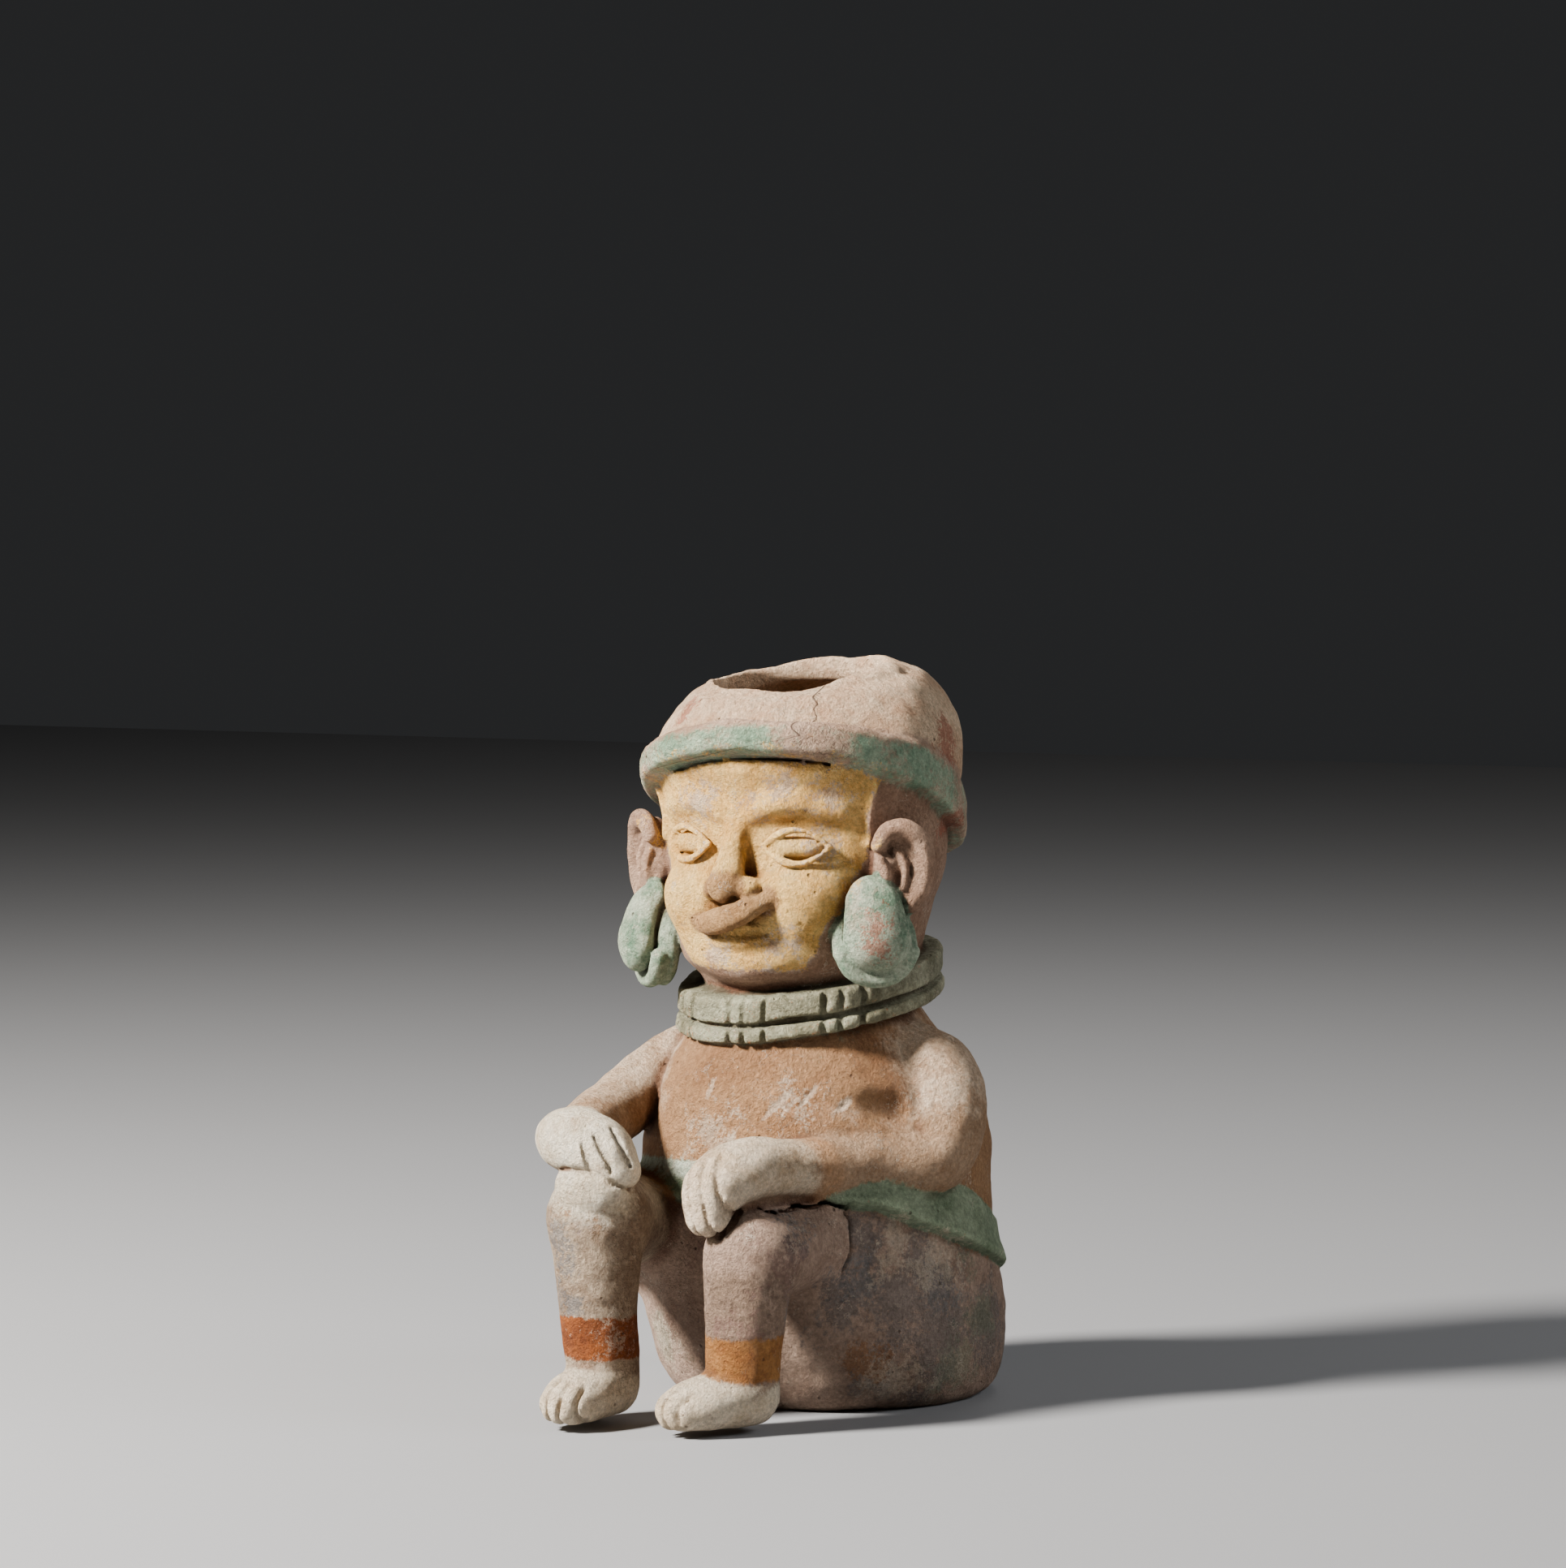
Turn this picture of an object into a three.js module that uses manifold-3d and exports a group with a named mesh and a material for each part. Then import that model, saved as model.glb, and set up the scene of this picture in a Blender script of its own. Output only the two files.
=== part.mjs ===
// A hollow fired-clay vessel in the shape of a seated figure, with its mouth in the crown of the cap.
// Millimetres, +Z up. The figure faces -Y, and its left side is +X.
// The origin is the middle of the flat underside, on the surface that the vessel stands on.

import * as THREE from "three";
import { mergeVertices } from "three/addons/utils/BufferGeometryUtils.js";
import Module from "manifold-3d";

const wasm = await Module();
wasm.setup();

// Driving dimensions.
const rimHeight = 229; // floor to the rim of the mouth, on the axis
const wall = 6; // clay thickness of the vessel
const floorThickness = 7;
const baseRadius = 48.5; // flat ring that the vessel stands on
const hipRadius = 57.5; // widest part of the lower body
const chestRadius = 55.5;
const neckRadius = 33;
const headRadius = 46; // at the temples
const capRadius = 49.5; // just above the brim
const mouthRadius = 32; // outer edge of the rim
const headX = -3; // how far the head stands from the axis of the base
const headY = -12;

const around = 28; // sides of the vessel
const up = new THREE.Vector3(0, 0, 1);
const sideways = new THREE.Vector3(1, 0, 0);

const vec = (x, y, z) => new THREE.Vector3(x, y, z);
const smooth = (from, to, x) => THREE.MathUtils.smoothstep(x, from, to);
const radians = THREE.MathUtils.degToRad;

// Moves every vertex of a geometry by a function that edits it in place.
function moved(geometry, place) {
  const at = geometry.attributes.position;
  const v = new THREE.Vector3();
  for (let i = 0; i < at.count; i++) {
    place(v.fromBufferAttribute(at, i));
    at.setXYZ(i, v.x, v.y, v.z);
  }
  return geometry;
}

// A closed geometry as a solid, with its doubled seam and pole vertices merged.
function solid(geometry) {
  const bare = geometry.clone();
  bare.deleteAttribute("normal");
  bare.deleteAttribute("uv");
  const merged = mergeVertices(bare, 1e-4);
  const index = merged.index.array;
  const kept = [];
  for (let i = 0; i < index.length; i += 3) {
    const [a, b, c] = index.slice(i, i + 3);
    if (a !== b && b !== c && c !== a) kept.push(a, b, c);
  }
  const make = (triangles) =>
    new wasm.Manifold(
      new wasm.Mesh({
        numProp: 3,
        vertProperties: merged.attributes.position.array,
        triVerts: new Uint32Array(triangles),
      }),
    );
  const made = make(kept);
  return made.volume() < 0 ? make(kept.reverse()) : made;
}

const joined = (...solids) => solids.flat().reduce((a, b) => a.add(b));

// A closed tube with rounded ends along a curve, its girth changing from point to point.
// flat squeezes the section: [width, thickness] as shares of the girth, the width lying along across.
function limb(path, girths, { sides = 10, steps = 8, caps = 2, flat = [1, 1], across } = {}) {
  const curve = new THREE.CatmullRomCurve3(path);
  const frames = curve.computeFrenetFrames(steps);
  const girth = new THREE.SplineCurve(girths.map((r, i) => new THREE.Vector2(i, r)));
  const capsule = new THREE.CapsuleGeometry(1, 1, caps, sides, steps);
  return solid(
    moved(capsule, (v) => {
      const t = THREE.MathUtils.clamp(0.5 - v.y, 0, 1);
      const r = girth.getPoint(t).y;
      const beyond = -Math.sign(v.y) * Math.max(0, Math.abs(v.y) - 0.5) * r;
      const along = curve.getTangent(t);
      const wide = (across ?? frames.normals[Math.round(t * steps)]).clone();
      wide.addScaledVector(along, -wide.dot(along)).normalize();
      const thick = along.clone().cross(wide);
      const [x, z] = [v.x * r * flat[0], v.z * r * flat[1]];
      v.copy(curve.getPoint(t)).addScaledVector(along, beyond);
      v.addScaledVector(wide, x).addScaledVector(thick, z);
    }),
  );
}

// A rounded lump: a sphere squeezed to three half sizes, turned and set in place.
function lump(centre, halves, turn = new THREE.Euler(), [wide, high] = [14, 8]) {
  const ball = new THREE.SphereGeometry(1, wide, high).scale(...halves);
  ball.applyMatrix4(new THREE.Matrix4().makeRotationFromEuler(turn));
  return solid(ball.translate(centre.x, centre.y, centre.z));
}

// How the turned form is bent: its axis leans over the lap, the face is flattened, and the crown
// tilts down to the front.
function shaped(v) {
  const crown = smooth(196, rimHeight, v.z);
  const inFace = smooth(136, 160, v.z) * (1 - 0.55 * smooth(192, 204, v.z) - 0.45 * smooth(212, 226, v.z));
  const rise = smooth(70, 160, v.z);
  const belly = 0.35 * Math.sin(Math.PI * THREE.MathUtils.clamp(v.z / 90, 0, 1));
  const lean = 0.3 * smooth(20, 90, v.z) * (1 - rise);
  v.z += crown * (0.15 * v.y + 0.02 * v.x);
  const jaw = smooth(130, 140, v.z) * (1 - smooth(150, 172, v.z));
  const forward = smooth(0.1, 0.8, -v.y / Math.max(1, Math.hypot(v.x, v.y)));
  v.x *= 1 + 0.08 * jaw * forward;
  v.y *= (1 + 0.17 * jaw * forward) * (v.y < 0 ? 1 - 0.14 * inFace : 1);
  v.x += headX * Math.max(smooth(0, 60, v.z), rise);
  v.y += headY * (belly + lean + rise);
}

// The outline of the vessel from its foot to its rim, as radius and height.
const outline = new THREE.SplineCurve(
  [
    [baseRadius, 0],
    [baseRadius + 4, 4.5],
    [hipRadius - 2, 14],
    [hipRadius, 28],
    [hipRadius - 0.5, 44],
    [chestRadius + 0.5, 62],
    [chestRadius, 78],
    [chestRadius - 2.5, 92],
    [chestRadius - 8, 104],
    [neckRadius + 7, 115],
    [neckRadius + 1, 124],
    [neckRadius, 132],
    [neckRadius + 4, 143],
    [headRadius - 5, 156],
    [headRadius - 1, 170],
    [headRadius, 184],
    [capRadius, 198],
    [capRadius - 2, 208],
    [capRadius - 6.5, 217.5],
    [mouthRadius + 4.5, 225],
    [mouthRadius, rimHeight - 1.5],
  ].map(([r, z]) => new THREE.Vector2(r, z)),
);

function turned(profile) {
  const form = new THREE.LatheGeometry(profile, around).rotateX(Math.PI / 2);
  return solid(moved(form, shaped));
}

// The vessel as if it were solid, with a blunt rim.
function outerForm() {
  const rim = new THREE.Vector2(mouthRadius - 2.4, rimHeight);
  return turned([new THREE.Vector2(0, 0), ...outline.getPoints(21), rim, new THREE.Vector2(0, rimHeight)]);
}

// The hollow: the outline set in by the wall, from the inner floor out through the mouth.
function hollow() {
  const steps = 13;
  const inner = [];
  for (let i = 0; i <= steps; i++) {
    const t = THREE.MathUtils.lerp(0.09, 0.985, i / steps);
    const along = outline.getTangent(t);
    const depth = wall * THREE.MathUtils.lerp(1, 0.75, smooth(0.85, 1, i / steps));
    inner.push(outline.getPoint(t).add(new THREE.Vector2(-along.y, along.x).multiplyScalar(depth)));
  }
  const corner = new THREE.Vector2(inner[0].x - 8, floorThickness);
  const lip = new THREE.Vector2(inner[steps].x, rimHeight + 12);
  return turned([new THREE.Vector2(0, floorThickness), corner, ...inner, lip, new THREE.Vector2(0, lip.y)]);
}

// The height of a band's edge at a turn round the figure, in degrees: 0 is in front, 90 at its left.
function heightAt(turn, edge) {
  const next = Math.max(1, edge.findIndex(([at]) => at >= turn));
  const [[start, from], [end, to]] = [edge[next - 1], edge[next]];
  return THREE.MathUtils.mapLinear(turn, start, end, from, to);
}

// A band laid round the figure on a tilted plane. Its section is given outward from a radius, and from
// -1 at the lower edge to 1 at the upper one.
function band(centre, radius, section, [slopeX, slopeY], lower, upper) {
  const profile = [...section, section[0]].map(([out, high]) => new THREE.Vector2(radius + out, high));
  const ring = new THREE.LatheGeometry(profile, around).rotateX(Math.PI / 2);
  return solid(
    moved(ring, (v) => {
      const turn = THREE.MathUtils.radToDeg(Math.atan2(v.x, -v.y));
      const height = THREE.MathUtils.mapLinear(v.z, -1, 1, heightAt(turn, lower), heightAt(turn, upper));
      v.z = height + centre.z + slopeX * v.x + slopeY * v.y;
      v.x += centre.x;
      v.y += centre.y;
    }),
  );
}

// An edge that keeps one height all round.
const level = (height) => [[-180, height], [180, height]];

// The rolled brim of the cap, high over the brow and low at the back, and thickest at its left.
function brim() {
  const roll = [[-8, 0.9], [-1, 1], [3.2, 0.67], [5, 0], [4.2, -0.67], [0, -1], [-8, -0.9]];
  const lower = [[-180, -7], [-90, -5], [-60, -2.8], [40, -3.4], [80, -4.6], [130, -9], [180, -7]];
  const upper = [[-180, 6.5], [-60, 8.2], [-15, 7], [25, 7.2], [85, 10.8], [130, 9], [180, 6.5]];
  return band(vec(headX, -13, 190.5), headRadius + 0.4, roll, [0.09, -0.36], lower, upper);
}

// The collar: two flat tiers with a groove between, and three groups of upright cuts in front.
function collar() {
  const centre = vec(headX, -9, 128.8);
  const radius = neckRadius + 9;
  const half = 7.5;
  const slope = [0.06, 0.19];
  const upper = [[-9, 1], [-1.6, 1], [0, 0.8], [0, -0.06]];
  const lower = [[-2.2, -0.16], [0.4, -0.28], [0.4, -0.82], [-1.4, -1], [-9, -1]];
  const cuts = [-40, 2.6, 45.6].flatMap((group) =>
    [-8.6, 0, 8.6].map((step) => {
      const angle = radians(group + step);
      const cut = new THREE.BoxGeometry(1.3, 4, 20).rotateZ(angle);
      const [x, y] = [Math.sin(angle) * (radius + 0.5), -Math.cos(angle) * (radius + 0.5)];
      return solid(cut.translate(centre.x + x, centre.y + y, centre.z + slope[0] * x + slope[1] * y));
    }),
  );
  const tiers = band(centre, radius, [...upper, ...lower], slope, level(-half), level(half));
  return tiers.subtract(joined(cuts));
}

// The belt: a band that flares out over the hips and turns under, narrow where the right arm hides it.
function belt() {
  const flare = [[-6, 1], [-0.5, 1], [1.9, 0.25], [4.1, -0.6], [2.9, -1], [-6, -1]];
  const lower = [[-180, -6.5], [-60, -1], [-45, -1.5], [-14, -11], [50, -4], [90, -6.9], [180, -6.5]];
  const upper = [[-180, 6.5], [-60, 6.8], [0, 1], [30, 4], [60, 9], [88, 10.5], [150, 6.5], [180, 6.5]];
  return band(vec(-2, -5, 56.5), chestRadius, flare, [0, -0.34], lower, upper);
}

// The face, calm and regular, set by a few heights on the flattened front of the head.
const eyeHeight = 176;
const noseBase = 159;
const mouthHeight = 150;
const chinHeight = 139;

function face() {
  const chin = lump(vec(headX, -42.6, chinHeight + 3.5), [18, 9, 10], undefined, [14, 8]);
  const brow = vec(headX, -50, eyeHeight + 9);
  const tip = vec(headX, -58, noseBase + 4.5);
  const nose = limb([brow, vec(headX, -54.5, eyeHeight - 3), tip], [3.6, 4.6, 6], { sides: 10, steps: 4 });
  const wings = [-1, 1].map((side) => {
    const beside = vec(headX + side * 6, -55, noseBase + 3.6);
    return lump(beside, [4.4, 4.6, 4], undefined, [8, 6]);
  });
  const lips = [-1, 1].map((lip) => {
    const corners = [-11, 11].map((x) => vec(headX + x, -50, mouthHeight - 1.5));
    const middle = vec(headX, -54.6, mouthHeight - 2.4 + lip * 1.5);
    return limb([corners[0], middle, corners[1]], [0.8, 2.2, 0.8], { sides: 6, steps: 4, across: up });
  });
  return joined(chin, nose, wings, crescent(), lips, almondEye(-1), almondEye(1));
}

// The ornament that hangs from the nose: a bar that tapers to both ends, higher at its left.
function crescent() {
  const path = [
    vec(headX - 13, -53, 151.5),
    vec(headX - 5, -59, 152),
    vec(headX + 5, -60, 155),
    vec(headX + 13, -54, 159.5),
  ];
  return limb(path, [1.6, 4, 4, 2.6], { sides: 8, steps: 6, flat: [1, 0.75], across: up });
}

// An eye: a low almond of clay inside a raised rim, lying on the curve of the head.
function almondEye(side) {
  const centre = vec(headX + side * 19.5, -47.6, eyeHeight);
  const turn = radians(side * 22);
  const lie = (x, z, out) => vec(x, -out + 0.012 * x * x, z).applyAxisAngle(up, turn).add(centre);
  const half = 10.5;
  const lids = [1, -1].map((lid) =>
    limb(
      [-1, -0.5, 0, 0.5, 1].map((s) => lie(s * half, lid * 5 * (1 - s * s), 0.4)),
      [0.9, 1.4, 1.5, 1.4, 0.9],
      { sides: 5, steps: 6, caps: 1, across: up },
    ),
  );
  const ball = lump(lie(0, 0, -0.8), [8.6, 2.8, 3.8], new THREE.Euler(0, 0, turn), [10, 6]);
  return joined(lids, ball);
}

// An ear with a hollow and an inner ridge, and the big two-lobed ornament that hangs from it.
function ear(side) {
  const outward = radians(side * 40);
  const centre = vec(headX + side * 47, -29, 168.5);
  const lie = (x, y, z) => vec(side * x, y, z).applyAxisAngle(up, outward).add(centre);
  const faceOn = new THREE.Euler(0, 0, outward);
  const shell = lump(centre, [9.6, 6, 15], faceOn, [12, 8]);
  const hollowed = lump(lie(-0.5, -5.5, 1), [5.4, 4.2, 9.5], faceOn, [10, 6]);
  const fold = [lie(0, -2.6, 6), lie(1.2, -3.4, 0), lie(0, -2.6, -6)];
  const ridge = limb(fold, [1.2, 1.9, 1.4], { sides: 5, steps: 2, caps: 1 });
  const hung = vec(headX + side * 40, -36, side > 0 ? 147.5 : 143.5);
  const place = (x, y, z) => vec(side * x, y, z).applyAxisAngle(up, outward).add(hung);
  const ornament = [
    lump(place(0, 0, -4), [14.2, 6, 14], faceOn, [12, 8]),
    lump(place(0.5, 0, 8), [11, 6, 10.5], faceOn, [12, 6]),
    lump(place(0, -5, 1), [7.2, 4.6, 8], faceOn, [10, 6]),
  ];
  return joined(shell.subtract(hollowed), ridge, ornament);
}

// Cuts between fingers or toes: thin tubes laid over the top of a hand or foot.
const grooves = (lines, girth) =>
  joined(lines.map((line) => limb(line, line.map(() => girth), { sides: 4, steps: 2, caps: 1 })));

// The left arm hangs at the side, and its forearm lies along the thigh to a hand over the knee.
function leftArm() {
  const path = [
    vec(33, -7, 107),
    vec(43.5, -7, 102),
    vec(49, -12, 90),
    vec(47.5, -19, 78.5),
    vec(36, -34, 77),
    vec(22, -60, 77.5),
  ];
  const arm = limb(path, [13, 13, 12.5, 12, 11, 9.5], { sides: 10, steps: 11 });
  const hand = limb(
    [vec(23, -60, 78), vec(17, -75, 79), vec(13, -87, 75), vec(13, -92, 66)],
    [9, 10.5, 10, 7],
    { sides: 12, steps: 5, flat: [1.1, 0.85], across: sideways },
  );
  const between = [-5.2, -0.6, 4].map((x) => {
    const knuckle = vec(14 + x, -85, 84);
    return [knuckle, vec(12.5 + x, -96, 77), vec(13 + x, -99, 64)];
  });
  return arm.add(hand).subtract(grooves(between, 1));
}

// The right arm reaches further forward, to a broad hand laid over the higher knee.
function rightArm() {
  const path = [
    vec(-33, -10, 107),
    vec(-45, -20, 103),
    vec(-49, -36, 96),
    vec(-48, -56, 90),
    vec(-43, -75, 87),
    vec(-37, -87, 85),
  ];
  const arm = limb(path, [13, 12, 11, 10.5, 10, 10], { sides: 10, steps: 11 });
  const hand = limb(
    [vec(-40, -87, 85), vec(-32, -94, 85), vec(-22, -97, 82), vec(-17, -97, 76)],
    [11, 12.5, 11, 6.5],
    { sides: 12, steps: 5, flat: [1, 0.85], across: vec(0.4, -1, 0).normalize() },
  );
  const between = [-4.6, 0.4, 5.4].map((y) => {
    const knuckle = vec(-27, -99 + y, 95);
    return [knuckle, vec(-15, -101 + y, 90), vec(-9, -100 + y, 78)];
  });
  return arm.add(hand).subtract(grooves(between, 1));
}

// A leg: thigh out of the hip, bent knee, shin, and a foot that clears the ground by a little.
const soleHeight = 2.2;

function leg({ hip, knee, ankle, toes, kneeGirth }) {
  const middle = hip.clone().lerp(knee, 0.5);
  middle.z += 3;
  const shin = knee.clone().lerp(ankle, 0.45);
  shin.y -= 1.5;
  const girths = [15, 14.5, kneeGirth, 12.5, 11];
  const limbs = limb([hip, middle, knee, shin, ankle], girths, { sides: 11, steps: 11 });
  const heel = ankle.clone().setZ(soleHeight + 8);
  const ball = heel.clone().lerp(toes, 0.62).setZ(soleHeight + 7);
  const foot = limb([heel, ball, toes.clone().setZ(soleHeight + 5.5)], [10.5, 10.5, 9], {
    sides: 12,
    steps: 5,
    flat: [1.05, 0.85],
    across: sideways,
  });
  const forward = toes.clone().sub(heel).setZ(0).normalize();
  const beside = forward.clone().cross(up);
  const between = [-6.3, -2.1, 2.1, 6.3].map((w) => {
    const from = (along, height) =>
      toes.clone().addScaledVector(beside, w).addScaledVector(forward, along).setZ(soleHeight + height);
    return [from(-6, 17), from(1.5, 12.5), from(8, 5)];
  });
  const ground = solid(new THREE.BoxGeometry(90, 120, 20).translate(knee.x, knee.y, soleHeight - 10));
  return limbs.add(foot).subtract(grooves(between, 0.9)).subtract(ground);
}

const leftLeg = {
  hip: vec(23, -34, 50.5),
  knee: vec(20.5, -80, 52.5),
  ankle: vec(21, -85, 16),
  toes: vec(10.5, -101.5, 0),
  kneeGirth: 14.5,
};
const rightLeg = {
  hip: vec(-46, -34, 49),
  knee: vec(-28.5, -91, 62),
  ankle: vec(-25, -93, 16),
  toes: vec(-25.5, -111, 0),
  kneeGirth: 15.5,
};

// The pits that the potter's thumb left under the arms, in front.
const armpit = (at) => lump(at, [5, 6, 10], undefined, [10, 6]);

const body = outerForm().subtract(armpit(vec(41, -32, 93))).subtract(armpit(vec(-43, -29, 90)));
const limbs = [leftArm(), rightArm(), leg(leftLeg), leg(rightLeg)];
const figure = joined(body, brim(), collar(), belt(), face(), ear(-1), ear(1), limbs);
const made = figure.subtract(hollow()).getMesh();

const geometry = new THREE.BufferGeometry();
geometry.setAttribute("position", new THREE.BufferAttribute(made.vertProperties, 3));
geometry.setIndex(new THREE.BufferAttribute(made.triVerts, 1));
geometry.computeVertexNormals();

const clay = new THREE.MeshStandardMaterial({ color: 0xc2a08a, roughness: 0.92, metalness: 0 });
const vessel = new THREE.Mesh(geometry, clay);
vessel.name = "seated_figure_vessel";

const group = new THREE.Group();
group.add(vessel);
export default group;
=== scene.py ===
import functools
import math

import bpy
import numpy as np
import openvdb as vdb
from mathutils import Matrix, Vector


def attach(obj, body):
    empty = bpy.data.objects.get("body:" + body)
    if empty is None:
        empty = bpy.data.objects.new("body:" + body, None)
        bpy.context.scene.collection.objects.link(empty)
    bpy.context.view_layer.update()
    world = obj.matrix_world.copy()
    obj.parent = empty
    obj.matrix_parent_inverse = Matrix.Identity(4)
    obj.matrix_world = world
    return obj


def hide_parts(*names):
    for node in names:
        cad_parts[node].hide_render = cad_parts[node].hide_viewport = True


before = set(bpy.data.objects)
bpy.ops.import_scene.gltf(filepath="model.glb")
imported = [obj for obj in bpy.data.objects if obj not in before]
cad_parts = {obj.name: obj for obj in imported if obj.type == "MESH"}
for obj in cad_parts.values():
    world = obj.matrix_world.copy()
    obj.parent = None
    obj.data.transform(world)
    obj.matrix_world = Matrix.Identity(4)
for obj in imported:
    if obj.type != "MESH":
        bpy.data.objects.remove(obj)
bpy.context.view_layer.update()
print("frame loaded")

# The vessel is modelled in millimetres as one distance field: forms are added to it, blended and carved,
# and its zero surface is meshed once. The figure faces -Y and its left side is +X, as in the frame.

voxel = 0.8
low = np.array([-68.0, -126.0, -3.2])
high = np.array([68.0, 62.0, 240.0])
counts = np.ceil((high - low) / voxel).astype(int) + 1
axes = [(low[i] + voxel * np.arange(counts[i])).astype(np.float32) for i in range(3)]
field = np.full(counts, 8.0, np.float32)


def smooth(start, end, x):
    t = np.clip((x - start) / (end - start), 0.0, 1.0)
    return t * t * (3.0 - 2.0 * t)


def softMin(a, b, k):
    h = np.clip(0.5 + 0.5 * (b - a) / k, 0.0, 1.0)
    return b + (a - b) * h - k * h * (1.0 - h)


def softMax(a, b, k):
    return -softMin(-a, -b, k)


def least(*values):
    return functools.reduce(np.minimum, values)


def most(*values):
    return functools.reduce(np.maximum, values)


def window(box, pad=0.0):
    # the part of the grid inside a box, with its coordinates
    slices = []
    for i in range(3):
        start = int(np.clip(np.floor((box[0][i] - pad - low[i]) / voxel), 0, counts[i] - 1))
        stop = int(np.clip(np.ceil((box[1][i] + pad - low[i]) / voxel) + 1, start + 1, counts[i]))
        slices.append(slice(start, stop))
    x = axes[0][slices[0]][:, None, None]
    y = axes[1][slices[1]][None, :, None]
    z = axes[2][slices[2]][None, None, :]
    return tuple(slices), x, y, z


def addForm(form, blend, box=None):
    s, x, y, z = window(box or form.box, blend + 4.0)
    field[s] = softMin(field[s], form(x, y, z), blend)


def carveForm(form, blend, box=None):
    # a cut stops 2 mm before it would open the hollow
    s, x, y, z = window(box or form.box, blend + 3.0)
    cut = np.maximum(form(x, y, z), 2.0 - hollowField[s])
    field[s] = softMax(field[s], -cut, blend)


def splinePoints(rows, count):
    # points at even steps along a smooth curve through the rows, whatever they hold
    rows = np.asarray(rows, float)
    rows = np.vstack([2 * rows[0] - rows[1], rows, 2 * rows[-1] - rows[-2]])
    t = np.linspace(0, len(rows) - 3, count)
    i = np.minimum(t.astype(int), len(rows) - 4)
    f = (t - i)[:, None]
    a, b, c, d = (rows[i + n] for n in range(4))
    return 0.5 * (2 * b + (c - a) * f + (2 * a - 5 * b + 4 * c - d) * f**2 + (3 * b - a - 3 * c + d) * f**3)


class Chain:
    # a rounded limb along a curve; each row is x, y, z and girth, its half width there. thin squeezes it
    # along a direction.
    def __init__(self, rows, count=16, thin=None):
        self.points = splinePoints(rows, count)
        self.thin = None
        if thin:
            direction = np.array(thin[:3]) / np.linalg.norm(thin[:3])
            self.thin = (direction, 1.0 / thin[3] - 1.0)
        reach = self.points[:, 3:].max()
        self.box = (self.points[:, :3].min(0) - reach, self.points[:, :3].max(0) + reach)

    def __call__(self, x, y, z):
        points = self.points
        if self.thin:
            direction, gain = self.thin
            along = (x * direction[0] + y * direction[1] + z * direction[2]) * gain
            x, y, z = x + along * direction[0], y + along * direction[1], z + along * direction[2]
            points = points.copy()
            points[:, :3] += (points[:, :3] @ direction * gain)[:, None] * direction
        nearest = None
        for a, b in zip(points[:-1], points[1:]):
            step = b[:3] - a[:3]
            px, py, pz = x - a[0], y - a[1], z - a[2]
            t = np.clip((px * step[0] + py * step[1] + pz * step[2]) / max(step @ step, 1e-9), 0.0, 1.0)
            away = np.sqrt((px - t * step[0]) ** 2 + (py - t * step[1]) ** 2 + (pz - t * step[2]) ** 2)
            away = away - (a[3] + (b[3] - a[3]) * t)
            nearest = away if nearest is None else np.minimum(nearest, away)
        return nearest


class Lump:
    # a rounded lump with three half sizes, turned about the upright axis
    def __init__(self, centre, halves, turn=0.0):
        self.centre, self.halves = np.array(centre, float), np.array(halves, float)
        self.turn = math.radians(turn)
        reach = self.halves.max()
        self.box = (self.centre - reach, self.centre + reach)

    def __call__(self, x, y, z):
        x, y, z = x - self.centre[0], y - self.centre[1], z - self.centre[2]
        c, s = math.cos(self.turn), math.sin(self.turn)
        x, y = c * x + s * y, c * y - s * x
        a, b, c = self.halves
        k = np.sqrt((x / a) ** 2 + (y / b) ** 2 + (z / c) ** 2) + 1e-6
        g = np.sqrt((x / a**2) ** 2 + (y / b**2) ** 2 + (z / c**2) ** 2) + 1e-6
        return k * (k - 1.0) / g


def softNoise(x, y, z, size, seed):
    # smooth lumps about the given size apart, from -1 to 1
    lattice = np.random.default_rng(seed).uniform(-1, 1, (32, 32, 32)).astype(np.float32)
    cells, shares = [], []
    for v in (x, y, z):
        v = np.asarray(v, np.float32) / size + 500.0
        cell = np.floor(v)
        share = v - cell
        cells.append(cell.astype(np.int32))
        shares.append(share * share * (3 - 2 * share))
    total = 0.0
    for corner in range(8):
        pick, weight = [], 1.0
        for i in range(3):
            bit = corner >> i & 1
            pick.append((cells[i] + bit) % 32)
            weight = weight * (shares[i] if bit else 1 - shares[i])
        total = total + lattice[pick[0], pick[1], pick[2]] * weight
    return total


# the turned form of the vessel, from its foot to its rim

vesselForm = {
    "rimHeight": 229.0,
    "wall": 6.0,
    "floorThickness": 7.0,
    "baseRadius": 48.5,
    "hipRadius": 57.5,
    "chestRadius": 55.5,
    "neckRadius": 33.0,
    "headRadius": 46.0,
    "capRadius": 49.5,
    "mouthRadius": 32.0,  # outer edge of the rim
    "mouthOpening": 27.4,
    "mouthShift": (-1.3, -0.8),  # of the opening inside the rim, which is thicker at its left and back
    "headX": -3.0,  # how far the head stands from the axis of the base
    "headY": -12.0,
    "shoulder": 2.2,  # how much fuller the cap is at its left and back
    "dents": 0.6,  # how uneven the hand-built wall is
}


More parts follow.
